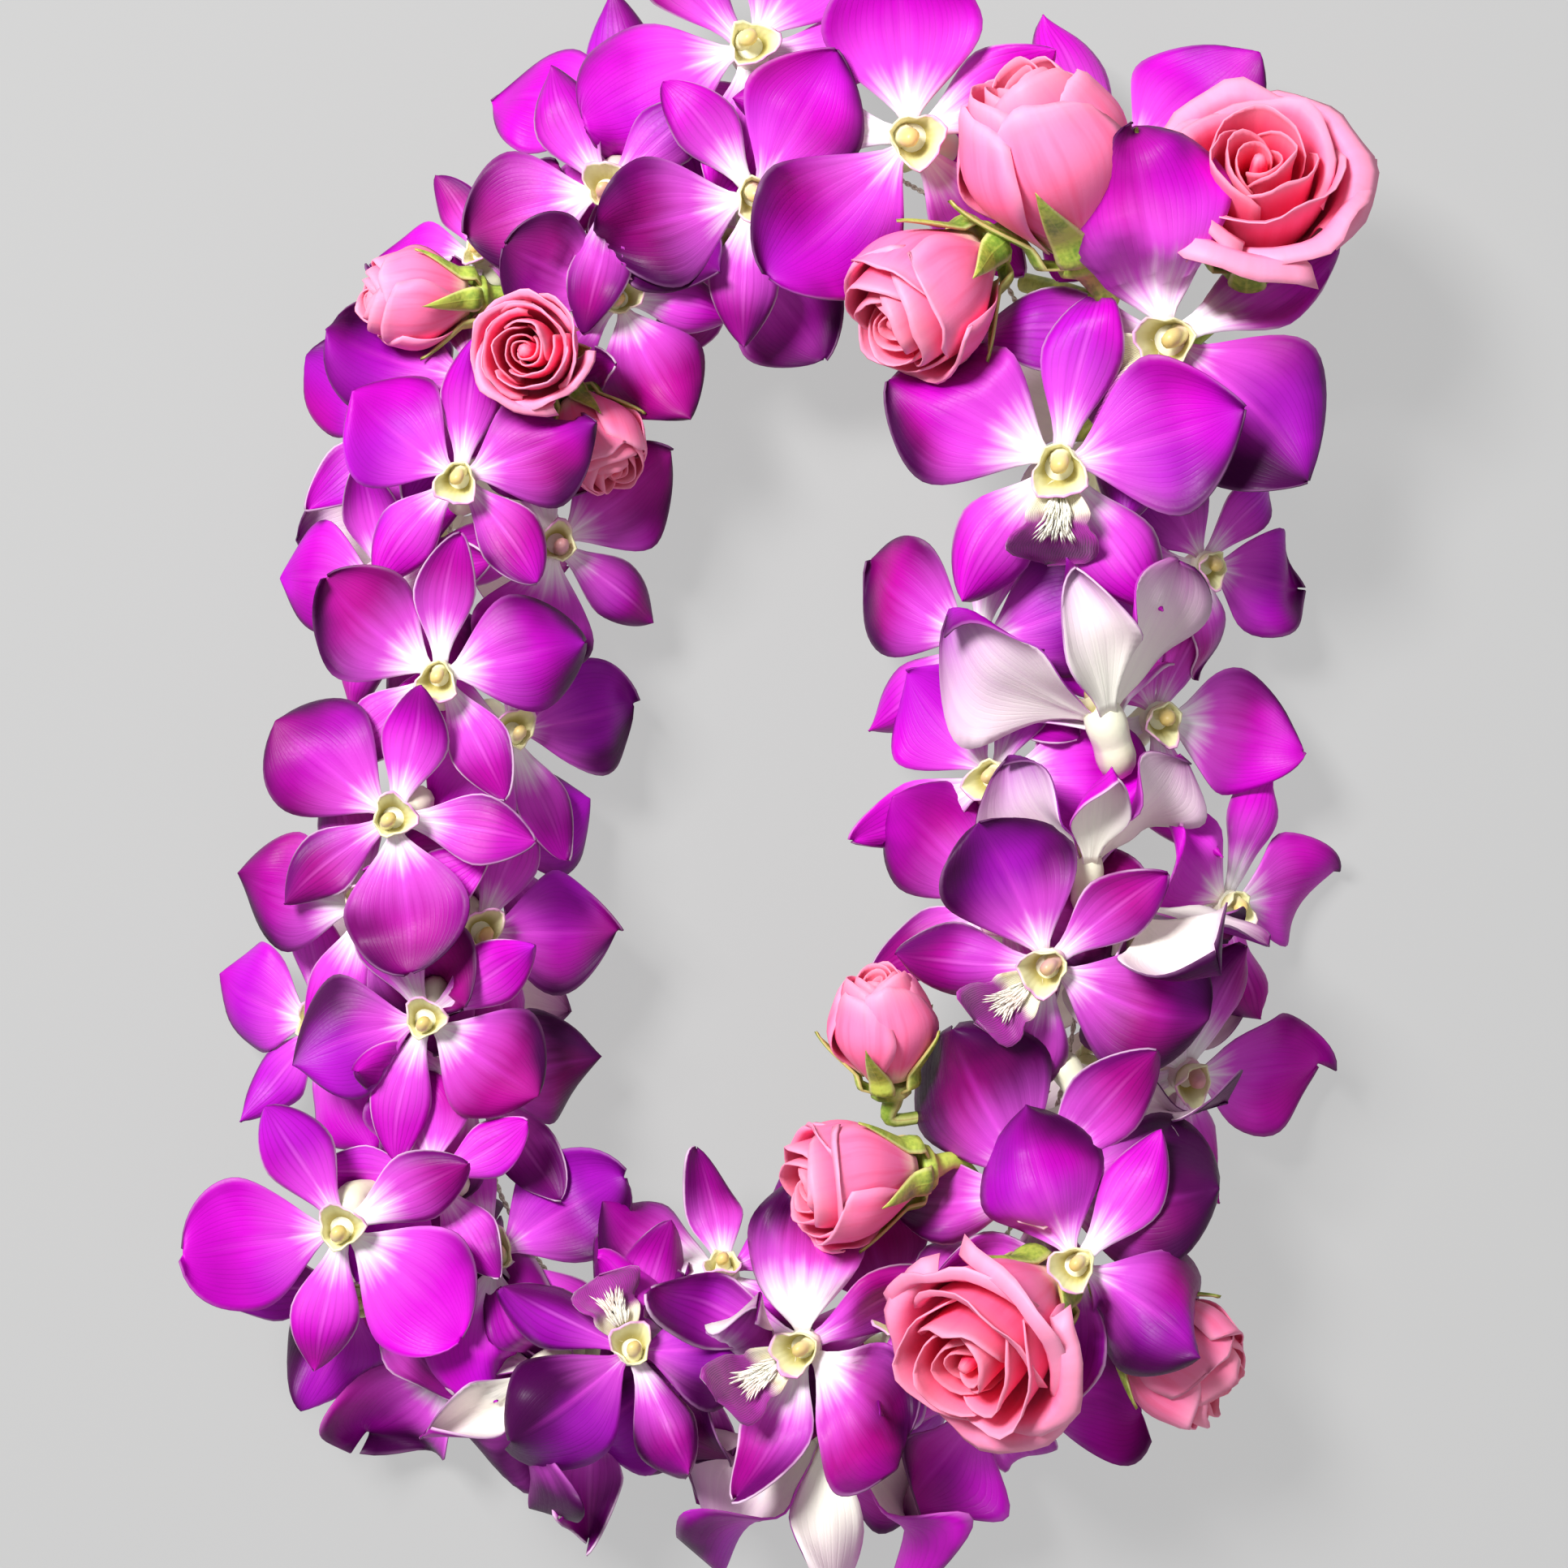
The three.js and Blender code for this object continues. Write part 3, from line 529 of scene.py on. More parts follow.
@dataclass(frozen=True)
class ThroatFinish:
    """The cup round the column: cream-yellow, greener and browner inside, magenta at its corners."""

    name: str = "orchid_throat"
    deep: Paint = paint(178, 166, 92)
    cream: Paint = paint(240, 238, 188)
    rim: Paint = paint(236, 150, 222)

    def make(self) -> bpy.types.Material:
        """Builds the material."""
        recipe = Recipe(self.name)
        along, across = recipe.along_and_across()
        cloud = recipe.noise(240, 2)
        reach = along + (cloud - 0.5) * 0.3
        colour = recipe.mix(reach.step(0.1, 0.75), self.deep, self.cream)
        blush = reach.step(0.84, 1.02) * across.size().step(0.25, 0.7)
        colour = recipe.mix(blush * 0.85, colour, self.rim)
        lines = (across * 9.0 + cloud).fraction() - 0.5
        return recipe.finish(
            Base_Color=colour, Roughness=0.45, Normal=recipe.bump(lines.size() + cloud, 0.25, 0.0003),
        )


@dataclass(frozen=True)
class LipFinish:
    """The lip: a cream throat with a brown-yellow shade, a dark velvet lobe with dense veins."""

    name: str = "orchid_lip"
    throat: Paint = paint(248, 244, 212)
    shade: Paint = paint(226, 206, 140)
    lobe: Paint = paint(168, 18, 156)
    dark: Paint = paint(78, 6, 74)
    vein_count: float = 17

    def make(self) -> bpy.types.Material:
        """Builds the material."""
        recipe = Recipe(self.name)
        along, across = recipe.along_and_across()
        cloud = recipe.noise(260, 3)
        lines = ((across + (cloud - 0.5) * 0.12) * self.vein_count).fraction() - 0.5
        vein = lines.size().step(0.24, 0.04)
        lobe = recipe.mix((cloud + vein * 0.5 - 0.25).clamped(), self.lobe, self.dark)
        edge = across.size().step(0.86, 1.0)
        lobe = recipe.mix(edge * 0.4, lobe, self.lobe)
        throat = recipe.mix(cloud.step(0.5, 0.75) * 0.7, self.throat, self.shade)
        throat = recipe.mix(vein * 0.4, throat, self.dark)
        reach = along + (cloud - 0.5) * 0.16
        colour = recipe.mix(reach.step(0.3, 0.52), throat, lobe)
        return recipe.finish(
            Base_Color=colour, Roughness=0.6, Sheen_Weight=0.4, Sheen_Roughness=0.5,
            Normal=recipe.bump(vein * -0.5 + cloud * 0.5, 0.4, 0.0004),
        )


@dataclass(frozen=True)
class RosePetalFinish:
    """A rose petal: coral deep in the bloom, pink outside, paler at the rim and creamy at the root."""

    name: str
    pink: Paint = paint(255, 126, 176)
    coral: Paint = paint(248, 40, 92)
    rim: Paint = paint(255, 196, 222)
    root: Paint = paint(252, 206, 186)

    def make(self) -> bpy.types.Material:
        """Builds the material."""
        recipe = Recipe(self.name)
        along, across = recipe.along_and_across()
        deep = recipe.value(TONE)
        cloud = recipe.noise(90, 3)
        streak = recipe.streaks(14.0, 1.2, 3)
        colour = recipe.mix((deep + (cloud - 0.5) * 0.5).clamped(), self.pink, self.coral)
        colour = recipe.mix((streak - 0.45).clamped() * 1.2, colour, self.coral)
        rim = (along + (streak - 0.5) * 0.12).step(0.7, 1.0) + across.size().step(0.8, 1.0) * 0.5
        colour = recipe.mix(rim.clamped() * 0.42, colour, self.rim)
        colour = recipe.mix((along + (streak - 0.5) * 0.1).step(0.22, 0.02), colour, self.root)
        cells = recipe.noise(1500, 1)
        return recipe.finish(
            Base_Color=colour, Roughness=0.5, Specular_IOR_Level=0.25,
            Normal=recipe.bump(streak * 0.8 + cells * 0.2, 0.25, 0.0004),
        )


@dataclass(frozen=True)
class GreenFinish:
    """A rose's hip, stem or sepal: yellow-green with darker streaks and a reddish margin."""

    name: str
    light: Paint = paint(186, 204, 84)
    dark: Paint = paint(116, 150, 50)
    edge: Paint = paint(226, 226, 150)
    blush: Paint = paint(176, 116, 74)

    def make(self) -> bpy.types.Material:
        """Builds the material."""
        recipe = Recipe(self.name)
        along, across = recipe.along_and_across()
        cloud = recipe.noise(150, 4)
        fibre = recipe.noise(1000, 2)
        colour = recipe.mix((cloud + (fibre - 0.5) * 0.4).step(0.35, 0.7), self.light, self.dark)
        rib = across.size().step(0.12, 0.0)
        colour = recipe.mix(rib * 0.4, colour, self.light)
        colour = recipe.mix(across.size().step(0.7, 0.95) * 0.7, colour, self.edge)
        blush = across.size().step(0.93, 1.0) * 0.4 + along.step(0.85, 1.0) * 0.3
        colour = recipe.mix(blush.clamped(), colour, self.blush)
        return recipe.finish(
            Base_Color=colour, Roughness=0.5, Normal=recipe.bump(fibre + rib * 0.5, 0.3, 0.0004),
        )


@dataclass(frozen=True)
class StringFinish:
    """White cotton string with a fine twist."""

    name: str = "cotton_string"
    light: Paint = paint(236, 232, 220)
    dark: Paint = paint(190, 182, 164)

    def make(self) -> bpy.types.Material:
        """Builds the material."""
        recipe = Recipe(self.name)
        fibre = recipe.noise(2400, 3)
        colour = recipe.mix(fibre.step(0.35, 0.65), self.light, self.dark)
        return recipe.finish(
            Base_Color=colour, Roughness=0.9, Normal=recipe.bump(fibre, 0.5, 0.0003),
        )


@dataclass(frozen=True)
class FloorFinish:
    """A plain pale studio floor."""

    name: str = "studio_floor"
    colour: Paint = paint(92, 92, 92)
    glow: Paint = paint(182, 182, 182)

    def make(self) -> bpy.types.Material:
        """Builds the material."""
        return Recipe(self.name).finish(
            Base_Color=self.colour, Roughness=0.9, Specular_IOR_Level=0.1, Emission_Color=self.glow,
            Emission_Strength=1.0)


class Skin(Enum):
    """The finishes, in the order of a piece's material slots."""

    PETAL = 0
    PETAL_BACK = 1
    SEPAL = 2
    SEPAL_BACK = 3
    LIP = 4
    COLUMN = 5
    CHIN = 6
    CREST = 7
    ROSE = 8
    GREEN = 9
    STRING = 10
    THROAT = 11


class Wardrobe:
    """Every finish of the garland, made once and shared by its pieces."""

    def __init__(self) -> None:
        """Makes the materials."""
        makers = {
            Skin.PETAL: PetalFinish(
                "orchid_petal", paint(202, 2, 198), paint(146, 2, 140), paint(66, 4, 66)),
            Skin.PETAL_BACK: PetalFinish(
                "orchid_petal_back", paint(206, 70, 196), paint(160, 34, 148), paint(112, 20, 108),
                root=paint(255, 254, 240), glow=paint(248, 222, 240), root_to=0.85, glow_to=1.1,
                rib=paint(238, 220, 220), vein_strength=0.1, roughness=0.5),
            Skin.SEPAL: PetalFinish(
                "orchid_sepal", paint(200, 8, 192), paint(156, 6, 148), paint(104, 8, 102),
                rib=paint(230, 120, 226), root_to=0.32, glow_to=0.66, vein_count=5, vein_strength=0.3,
                rim_strength=0.7, rim=paint(246, 214, 242)),
            Skin.SEPAL_BACK: PetalFinish(
                "orchid_sepal_back", paint(196, 76, 184), paint(160, 50, 148), paint(130, 40, 122),
                root=paint(253, 253, 238), glow=paint(246, 232, 236), rib=paint(248, 248, 226),
                root_to=0.9, glow_to=1.15, vein_count=5, vein_strength=0.15, roughness=0.5),
            Skin.LIP: LipFinish(),
            Skin.COLUMN: StalkFinish(
                "orchid_column", paint(246, 240, 214), paint(222, 196, 120), paint(206, 110, 170)),
            Skin.CHIN: StalkFinish(
                "orchid_chin", paint(240, 238, 214), paint(214, 216, 150), paint(214, 150, 190)),
            Skin.CREST: StalkFinish(
                "orchid_crest", paint(254, 253, 244), paint(250, 246, 224), paint(238, 214, 208)),
            Skin.ROSE: RosePetalFinish("rose_petal"),
            Skin.GREEN: GreenFinish("rose_green"),
            Skin.STRING: StringFinish(),
            Skin.THROAT: ThroatFinish(),
        }
        self.materials = {skin: maker.make() for skin, maker in makers.items()}

    def dress(self, mesh: bpy.types.Mesh) -> None:
        """Gives a mesh every finish, in the slots' order."""
        for skin in Skin:
            mesh.materials.append(self.materials[skin])


# ---- Working a piece -----------------------------------------------------------------------------

MERGED_SHARE = 0.05
SEAM = 1e-4
STRING_SEAM = 1e-3


def unique(elements: Iterable) -> list:
    """A mesh's elements, each once and in the order in which they come."""
    return list(dict.fromkeys(elements))


@dataclass
class Workpiece:
    """One mesh being built in the plan's millimetres, with its petal map and the numbers it carries."""

    name: str
    bm: bmesh.types.BMesh = field(default_factory=bmesh.new)

    def __post_init__(self) -> None:
        """Adds the petal map and the numbers that the finishes read."""
        self.map = self.bm.loops.layers.uv.new(LEAF_MAP)
        self.tone = self.bm.verts.layers.float.new(TONE)
        self.pale = self.bm.verts.layers.float.new(PALE)

    def grid(self, rows: int, columns: int) -> list[bmesh.types.BMVert]:
        """A flat grid from (-1, -1) to (1, 1), its first coordinate the long way."""
        return bmesh.ops.create_grid(self.bm, x_segments=rows, y_segments=columns, size=1)["verts"]

    def mark(self, verts: Sequence[bmesh.types.BMVert], skin: Skin, tone: float,
             pale: float = 0.0) -> list[bmesh.types.BMFace]:
        """Fills in the petal map and numbers of a grid that is still flat.

        Args:
            verts: The grid's corners.
            skin: The finish of its faces.
            tone: The number that shades it.
            pale: How much further its pale root reaches.

        Returns:
            Its faces.
        """
        faces = unique(face for vert in verts for face in vert.link_faces)
        for face in faces:
            face.material_index = skin.value
            face.smooth = True
            for loop in face.loops:
                loop[self.map].uv = ((loop.vert.co.y + 1) / 2, (loop.vert.co.x + 1) / 2)
        for vert in verts:
            vert[self.tone] = tone
            vert[self.pale] = pale
        return faces

    def sheet(self, surface: Surface, rows: int, columns: int, thickness: float, front: Skin,
              back: Skin, tone: float, pale: float, toward: Vector) -> None:
        """Adds a thin petal with a front and a back.

        Args:
            surface: Its middle, from root (0) to tip (1) and across from -1 to 1.
            rows: Faces from root to tip.
            columns: Faces across.
            thickness: In millimetres.
            front: The finish of the side that the bloom shows.
            back: The finish of the other side.
            tone: The number that shades it.
            pale: How much further its pale root reaches.
            toward: The way its front looks.
        """
        verts = self.grid(rows, columns)
        faces = self.mark(verts, front, tone, pale)
        for vert in verts:
            vert.co = surface((vert.co.x + 1) / 2, vert.co.y)
        bmesh.ops.remove_doubles(self.bm, verts=verts, dist=thickness * MERGED_SHARE)
        faces = [face for face in faces if face.is_valid]
        for face in faces:
            face.normal_update()
        if sum(face.normal.dot(toward) * face.calc_area() for face in faces) < 0:
            bmesh.ops.reverse_faces(self.bm, faces=faces)
        self._thicken(faces, thickness, back)

    def _thicken(self, faces: list[bmesh.types.BMFace], thickness: float, back: Skin) -> None:
        """Gives a sheet its back and its rim, at an even distance however sharply it curls.

        Args:
            faces: The sheet's front.
            thickness: In millimetres.
            back: The finish of its back; its rim keeps the front's.
        """
        made = bmesh.ops.duplicate(self.bm, geom=faces)
        behind = made["vert_map"]
        fronts = unique(vert for face in faces for vert in face.verts)
        for vert in fronts:
            vert.normal_update()
        for vert in fronts:
            behind[vert].co = vert.co - vert.normal * thickness
        backs = [piece for piece in made["geom"] if isinstance(piece, bmesh.types.BMFace)]
        bmesh.ops.reverse_faces(self.bm, faces=backs)
        for face in backs:
            face.material_index = back.value
        front = faces[0].material_index
        edges = unique(edge for face in faces for edge in face.edges if len(edge.link_faces) == 1)
        for edge in edges:
            loop = edge.link_loops[0]
            start, end = loop.vert, loop.link_loop_next.vert
            rim = self.bm.faces.new((end, start, behind[start], behind[end]))
            places = loop.link_loop_next[self.map].uv.copy(), loop[self.map].uv.copy()
            for corner, place in zip(rim.loops, (places[0], places[1], places[1], places[0])):
                corner[self.map].uv = place
            rim.smooth = True
            rim.material_index = front

    def tube(self, centres: Sequence[Vector], radii: Sequence[float], sides: int, rings: int,
             skin: Skin, tone: float, flat: float = 1.0) -> None:
        """Adds a closed round stalk through the given centres.

        Args:
            centres: Points along its middle.
            radii: Its radius at each of them.
            sides: Faces round it.
            rings: Faces along it.
            skin: Its finish.
            tone: The number that shades it.
            flat: Its thickness one way as a share of the other.
        """
        verts = self.grid(rings, sides)
        self.mark(verts, skin, tone)
        line = Curve(centres)
        sizes = Curve([Vector((radius, 0, 0)) for radius in radii])
        side = line.tangent(0).orthogonal().normalized()
        frames = {}
        for step in range(rings + 1):
            share = step / rings
            along = line.tangent(share)
            side = (side - along * side.dot(along)).normalized()
            frames[step] = (line.point(share), side.copy(), along.cross(side), sizes.point(share).x)
        for vert in verts:
            step = round((vert.co.x + 1) / 2 * rings)
            centre, one, other, radius = frames[step]
            angle = math.pi * vert.co.y
            if step in (0, rings):
                radius = 0.0
            vert.co = centre + one * radius * math.cos(angle) + other * radius * flat * math.sin(angle)
        bmesh.ops.remove_doubles(self.bm, verts=verts, dist=SEAM)
        faces = unique(face for vert in verts if vert.is_valid for face in vert.link_faces)
        bmesh.ops.recalc_face_normals(self.bm, faces=faces)

    def done(self, row: Matrix, wardrobe: Wardrobe) -> bpy.types.Object:
        """Moves the mesh into the frame and makes it an object with its finishes."""
        bmesh.ops.transform(self.bm, matrix=row, verts=self.bm.verts)
        mesh = bpy.data.meshes.new(self.name)
        self.bm.to_mesh(mesh)
        self.bm.free()
        wardrobe.dress(mesh)
        piece = bpy.data.objects.new(self.name, mesh)
        bpy.context.collection.objects.link(piece)
        return piece


class Curve:
    """A smooth line through a few points."""

    def __init__(self, points: Sequence[Vector]) -> None:
        """Keeps the points."""
        self.points = list(points)

    def point(self, share: float) -> Vector:
        """The point at a share of the way, by Catmull and Rom's rule."""
        last = len(self.points) - 1
        place = max(0.0, min(1.0, share)) * last
        at = min(int(place), last - 1)
        t = place - at
        before, start, end, after = (
            self.points[max(0, min(last, at + offset))] for offset in (-1, 0, 1, 2))
        return 0.5 * (
            2 * start + (end - before) * t + (2 * before - 5 * start + 4 * end - after) * t * t
            + (3 * start - before - 3 * end + after) * t ** 3)

    def tangent(self, share: float) -> Vector:
        """The way the line runs there."""
        step = 0.01
        return (self.point(share + step) - self.point(share - step)).normalized()


# ---- Orchids -------------------------------------------------------------------------------------


def tip_width(a: float, widest: float, keen: float, power: float) -> float:
    """How wide a blade is past its widest place: round at its end, or straight where it is keen."""
    past = (a - widest) / (1.001 - widest)
    return (1 - keen) * math.sqrt(max(0.0, 1 - past ** 2)) + keen * (1 - past ** power)


def petal_outline(a: float, pointed: float) -> float:
    """How wide a broad petal is, as a share of its half width."""
    widest = 0.6 - 0.08 * pointed
    if a > widest:
        return tip_width(a, widest, pointed, 1.7)
    t = max(0.0, a / widest)
    return 0.09 + 0.91 * (t * t * (3 - 2 * t)) ** 0.75


def sepal_outline(a: float, pointed: float) -> float:
    """How wide a narrow sepal is, as a share of its half width."""
    widest = 0.55
    if a > widest:
        return tip_width(a, widest, 0.45 + 0.4 * pointed, 1.5)
    t = max(0.0, a / widest)
    return 0.24 + 0.76 * t * t * (3 - 2 * t)


def lip_outline(a: float, _: float) -> float:
    """How wide the lip is: a claw that widens to a waist, and a broad front lobe with a blunt end."""
    a = min(max(a, 0.0), 1.0)
    lobes = 0.16 + 0.9 * math.sin(math.pi * 0.5 * a) ** 0.8
    waist = 1 - 0.22 * math.exp(-((a - 0.52) / 0.09) ** 2)
    tip = math.sqrt(max(0.0, 1 - max(0.0, (a - 0.8) / 0.2) ** 2.4))
    return lobes * waist * tip


@dataclass(frozen=True)
class Tepal:
    """A sepal, petal or lip at size 1: where it points, its size, how it bends and its faces."""

    turn: float
    length: float
    half_width: float
    rise: float
    curl: float
    cup: float
    level: float
    outline: Callable[[float, float], float]
    rows: int
    columns: int
    ruffle: float
    fold: float


@dataclass(frozen=True)
class Spread:
    """How blades differ: most of them by up to this much either way of a middle value."""

    turn: float = 6
    curl: float = 0.1
    twist: float = 0.2
    length: float = 0.07
    waves: float = 1.1
    waves_more: float = 0.5
    hook: float = 5.4
    hook_middle: float = -0.4
    tip_twist: float = 0.45
    fold_middle: float = -0.3
    sweep: float = 0.16
    rib_depth: float = 0.5
    rib_width: float = 0.16


@dataclass(frozen=True)
class Tangle:
    """Where blooms are pressed and crumpled: the ring's bottom, and the right side below its roses."""

    bottom: tuple[float, float] = (-92, -108)
    bottom_pale: tuple[float, float] = (-98, -108)
    right: tuple[float, float] = (34, 46)
    right_top: tuple[float, float] = (64, 48)
    bottom_more: float = 1.7
    right_more: float = 0.7
    bottom_shade: float = 0.45
    pale_more: float = 2

    def crumple(self, x: float, y: float) -> float:
        """How many times more a blade is ruffled, hooked and folded there."""
        bottom = self.bottom_more * smooth(*self.bottom, y)
        return 1 + bottom + self.right_more * smooth(*self.right, x) * smooth(*self.right_top, y)

    def shade(self, y: float) -> float:
        """How much darker a blade is there."""
        return self.bottom_shade * smooth(*self.bottom, y)

    def paleness(self, y: float) -> float:
        """How many times further one blade's pale root reaches than another's."""
        return 1 + self.pale_more * smooth(*self.bottom_pale, y)


SPREAD = Spread()
TANGLE = Tangle()
PETAL = Tepal(68, 28.5, 13.4, 0.12, -0.08, -0.1, 0.6, petal_outline, 20, 16, 1.7, 4.6)
DORSAL = Tepal(0, 28, 6.8, 0.08, 0.06, -0.12, -0.6, sepal_outline, 16, 10, 0.8, 3.0)
LATERAL = Tepal(138, 27, 7.2, 0.03, 0.06, -0.12, -0.6, sepal_outline, 16, 10, 0.8, 3.0)
LIP = Tepal(180, 15, 7.4, 0.75, -0.6, 0.5, 0.9, lip_outline, 16, 12, 0.8, 0.6)


@dataclass(frozen=True)
class Part:
    """One blade of a bloom: its shape, which side it is on, and its finishes."""

    tepal: Tepal
    side: int
    front: Skin
    back: Skin


PARTS = {
    "D": Part(DORSAL, 1, Skin.SEPAL, Skin.SEPAL_BACK),
    "S": Part(LATERAL, -1, Skin.SEPAL, Skin.SEPAL_BACK),
    "R": Part(LATERAL, 1, Skin.SEPAL, Skin.SEPAL_BACK),
    "P": Part(PETAL, 1, Skin.PETAL, Skin.PETAL_BACK),
    "Q": Part(PETAL, -1, Skin.PETAL, Skin.PETAL_BACK),
    "L": Part(LIP, 1, Skin.LIP, Skin.LIP),
}


class Posy:
    """A turned frame in the plan: an origin and three directions, with a scale."""

    def __init__(self, at: Vector, first: Vector, second: Vector, third: Vector, size: float) -> None:
        """Keeps the frame."""
        self.at, self.first, self.second, self.third, self.size = at, first, second, third, size

    def place(self, x: float, y: float, z: float) -> Vector:
        """A point of the frame in the plan's millimetres."""
        return self.at + (self.first * x + self.second * y + self.third * z) * self.size


def bloom_frame(bloom: Bloom) -> Posy:
    """The frame of a bloom: its back sepal's way, its left, and the way it faces."""
    tip, towards = (math.radians(angle) for angle in bloom.lean)
    face = Vector((math.sin(tip) * math.cos(towards), math.sin(tip) * math.sin(towards), math.cos(tip)))
    back = math.radians(bloom.dorsal)
    dorsal = Vector((math.cos(back), math.sin(back), 0))
    dorsal = (dorsal - face * dorsal.dot(face)).normalized()
    return Posy(Vector(bloom.at), dorsal, face.cross(dorsal), face, bloom.size)


def blade_letters(bloom: Bloom) -> str:
    """A bloom's blades: all five, and the lip where it isn't pressed out of sight."""
    return "DPQSR" + ("L" if "L" in bloom.has else "")


@dataclass
class OrchidNode:
    """One or more blooms that share a node of the frame, with the sizes of a bloom at size 1."""

    blooms: list[tuple[int, Bloom]]
    root_radius: float = 2.5
    thickness: float = 0.4
    heart_radius: float = 3.7
    column_line: tuple = ((1.6, -1), (1.3, 1.2), (0.9, 2.8), (0.1, 4.4), (-1.3, 5.4))
    column_radii: tuple = (2.3, 2.2, 1.6, 1.8, 1.1)
    column_flat: float = 0.8
    chin_line: tuple = ((0, 1.2), (-0.4, -1.4), (-2.4, -4.2), (-5, -7))
    chin_radii: tuple = (0.9, 1, 0.92)
    chin_radius: float = 3.4
    stalk_radius: float = 1.3
    stalk_shares: tuple = (0.3, 0.65, 1.0)
    stalk_sag: float = 2.0
    hair_count: int = 128
    hair_radii: tuple = (0.24, 0.2, 0.06)
    hair_from: float = 0.16
    hair_spread: float = 0.4
    hair_across: float = 0.3
    hair_reach: float = 0.22
    hair_fan: float = 1.7
    hair_lift: float = 1.5
    hair_droop: float = 6.0
    hair_lean: float = 0.5
    hair_arch: float = 0.8
    throat_radius: float = 4.6
    throat_foot: float = 0.42
    throat_corner: float = 0.14
    throat_wave: float = 0.05
    throat_height: float = 4.6
    throat_low: float = 0.2
    throat_slant: float = 0.22
    throat_frill: float = 0.7
    throat_forward: float = 1.4

    @property
    def node(self) -> str:
        """The frame's node that this replaces."""
        return f"orchid_{self.blooms[0][0]:02d}"

    def surface(self, number: int, bloom: Bloom, letter: str) -> Surface:
        """The middle surface of one blade.

        Args:
            number: The bloom's number, which seeds its small differences.
            bloom: Where and how large it is.
            letter: Which blade.

        Returns:
            The surface, from root to tip and across.
        """
        part = PARTS[letter]
        shape = part.tepal
        seed = 10 * number + ord(letter)
        posy = bloom_frame(bloom)
        angle = math.radians(part.side * shape.turn + SPREAD.turn * jitter(seed, 1))
        curl = shape.curl + SPREAD.curl * jitter(seed, 2)
        twist = SPREAD.twist * jitter(seed, 3)
        length = shape.length * (1 + SPREAD.length * jitter(seed, 4))
        close = math.radians(bloom.shut)
        pointed = 0.5 + 0.5 * jitter(seed, 10)
        phase = math.pi * jitter(seed, 5)
        waves = SPREAD.waves + SPREAD.waves_more * jitter(seed, 6)
        hook = SPREAD.hook * jitter(seed, 7) + SPREAD.hook_middle
        tip_twist = SPREAD.tip_twist * jitter(seed, 12)
        fold = shape.fold * (jitter(seed, 8) + SPREAD.fold_middle)
        sweep = SPREAD.sweep * jitter(seed, 9)
        low = self.thickness / 2
        crumple = TANGLE.crumple(*bloom.at[:2])

        def middle(t: float, b: float) -> Vector:
            """A point of the blade."""
            a = t if shape.outline is lip_outline else 1 - (1 - t) ** 1.35
            width = shape.half_width * shape.outline(a, pointed)
            wide = b * width
            out = length * a
            high = (shape.level + length * (shape.rise * a + curl * a * a)
                    + shape.cup * b * b * width + twist * wide * a)
            wave = b * b * math.sin(phase + math.tau * waves * a + 1.5 * b) * smooth(0.1, 0.6, a)
            bend = hook * smooth(0.5, 1.0, a) ** 2 + fold * abs(b) ** 2.5 * smooth(0.1, 0.7, a)
            high += crumple * (shape.ruffle * wave + bend + tip_twist * wide * smooth(0.35, 1.0, a))
            groove = math.exp(-(b / SPREAD.rib_width) ** 2)
            high -= SPREAD.rib_depth * groove * (1 - a) * smooth(0.0, 0.2, a)
            out, high = (
                self.root_radius + out * math.cos(close) - high * math.sin(close),
                out * math.sin(close) + high * math.cos(close))
            turned = angle + sweep * a * a
            point = posy.place(
                math.cos(turned) * out - math.sin(turned) * wide,
                math.sin(turned) * out + math.cos(turned) * wide,
                high)
            point.z = max(point.z, low)
            return point

        return middle

    def build(self, row: Matrix, wardrobe: Wardrobe, settled: dict) -> bpy.types.Object:
        """Builds the node's blooms as one piece.

        Args:
            row: The move into the frame.
            wardrobe: The finishes.
            settled: Each blade's surface, laid clear of its neighbours.

        Returns:
            The piece.
        """
        work = Workpiece(self.node + "_blooms")
        first = self.blooms[0][1]
        tie = RING.tie(Vector(first.at), 1.5 * first.size, first.slide)
        for number, bloom in self.blooms:
            tone = jitter(number, 11)
            face = bloom_frame(bloom).third
            y = bloom.at[1]
            for letter in blade_letters(bloom):
                part = PARTS[letter]
                pale = jitter(number, ord(letter)) * TANGLE.paleness(y)
                shade = 0.6 * tone + 0.7 * jitter(number, 3 + ord(letter)) + TANGLE.shade(y)
                work.sheet(
                    settled[number, letter], part.tepal.rows, part.tepal.columns,
                    self.thickness, part.front, part.back, shade, pale, face)
            self._heart(work, bloom, tie, tone)
            self._throat(work, number, bloom, tone)
            if "C" in bloom.has:
                self._crest(work, number, bloom, settled[number, "L"], tone)
        return work.done(row, wardrobe)

    def _heart(self, work: Workpiece, bloom: Bloom, tie: Vector, tone: float) -> None:
        """Adds the column in front and the chin and stalk behind."""
        posy = bloom_frame(bloom)
        size = bloom.size
        radius = self.heart_radius * size
        column = [posy.place(x, 0, z) for x, z in self.column_line]
        for point in column:
            point.z = max(point.z, self.column_radii[0] * size)
        radii = [share * size for share in self.column_radii]
        work.tube(column, radii, 10, 12, Skin.COLUMN, tone, self.column_flat)
        back = [posy.place(x, 0, z) for x, z in self.chin_line]
        for point in back:
            point.z = max(point.z, radius)
        stalk = [back[-1].lerp(tie, share) for share in self.stalk_shares]
        thin = self.stalk_radius * size
        for share, point in zip(self.stalk_shares, stalk):
            point.z = max(point.z - self.stalk_sag * math.sin(math.pi * share), thin)
        radii = [radius * share for share in self.chin_radii]
        radii += [self.chin_radius * size, thin * 1.1, thin, thin * 0.9]
        work.tube(back + stalk, radii, 12, 30, Skin.CHIN, tone)

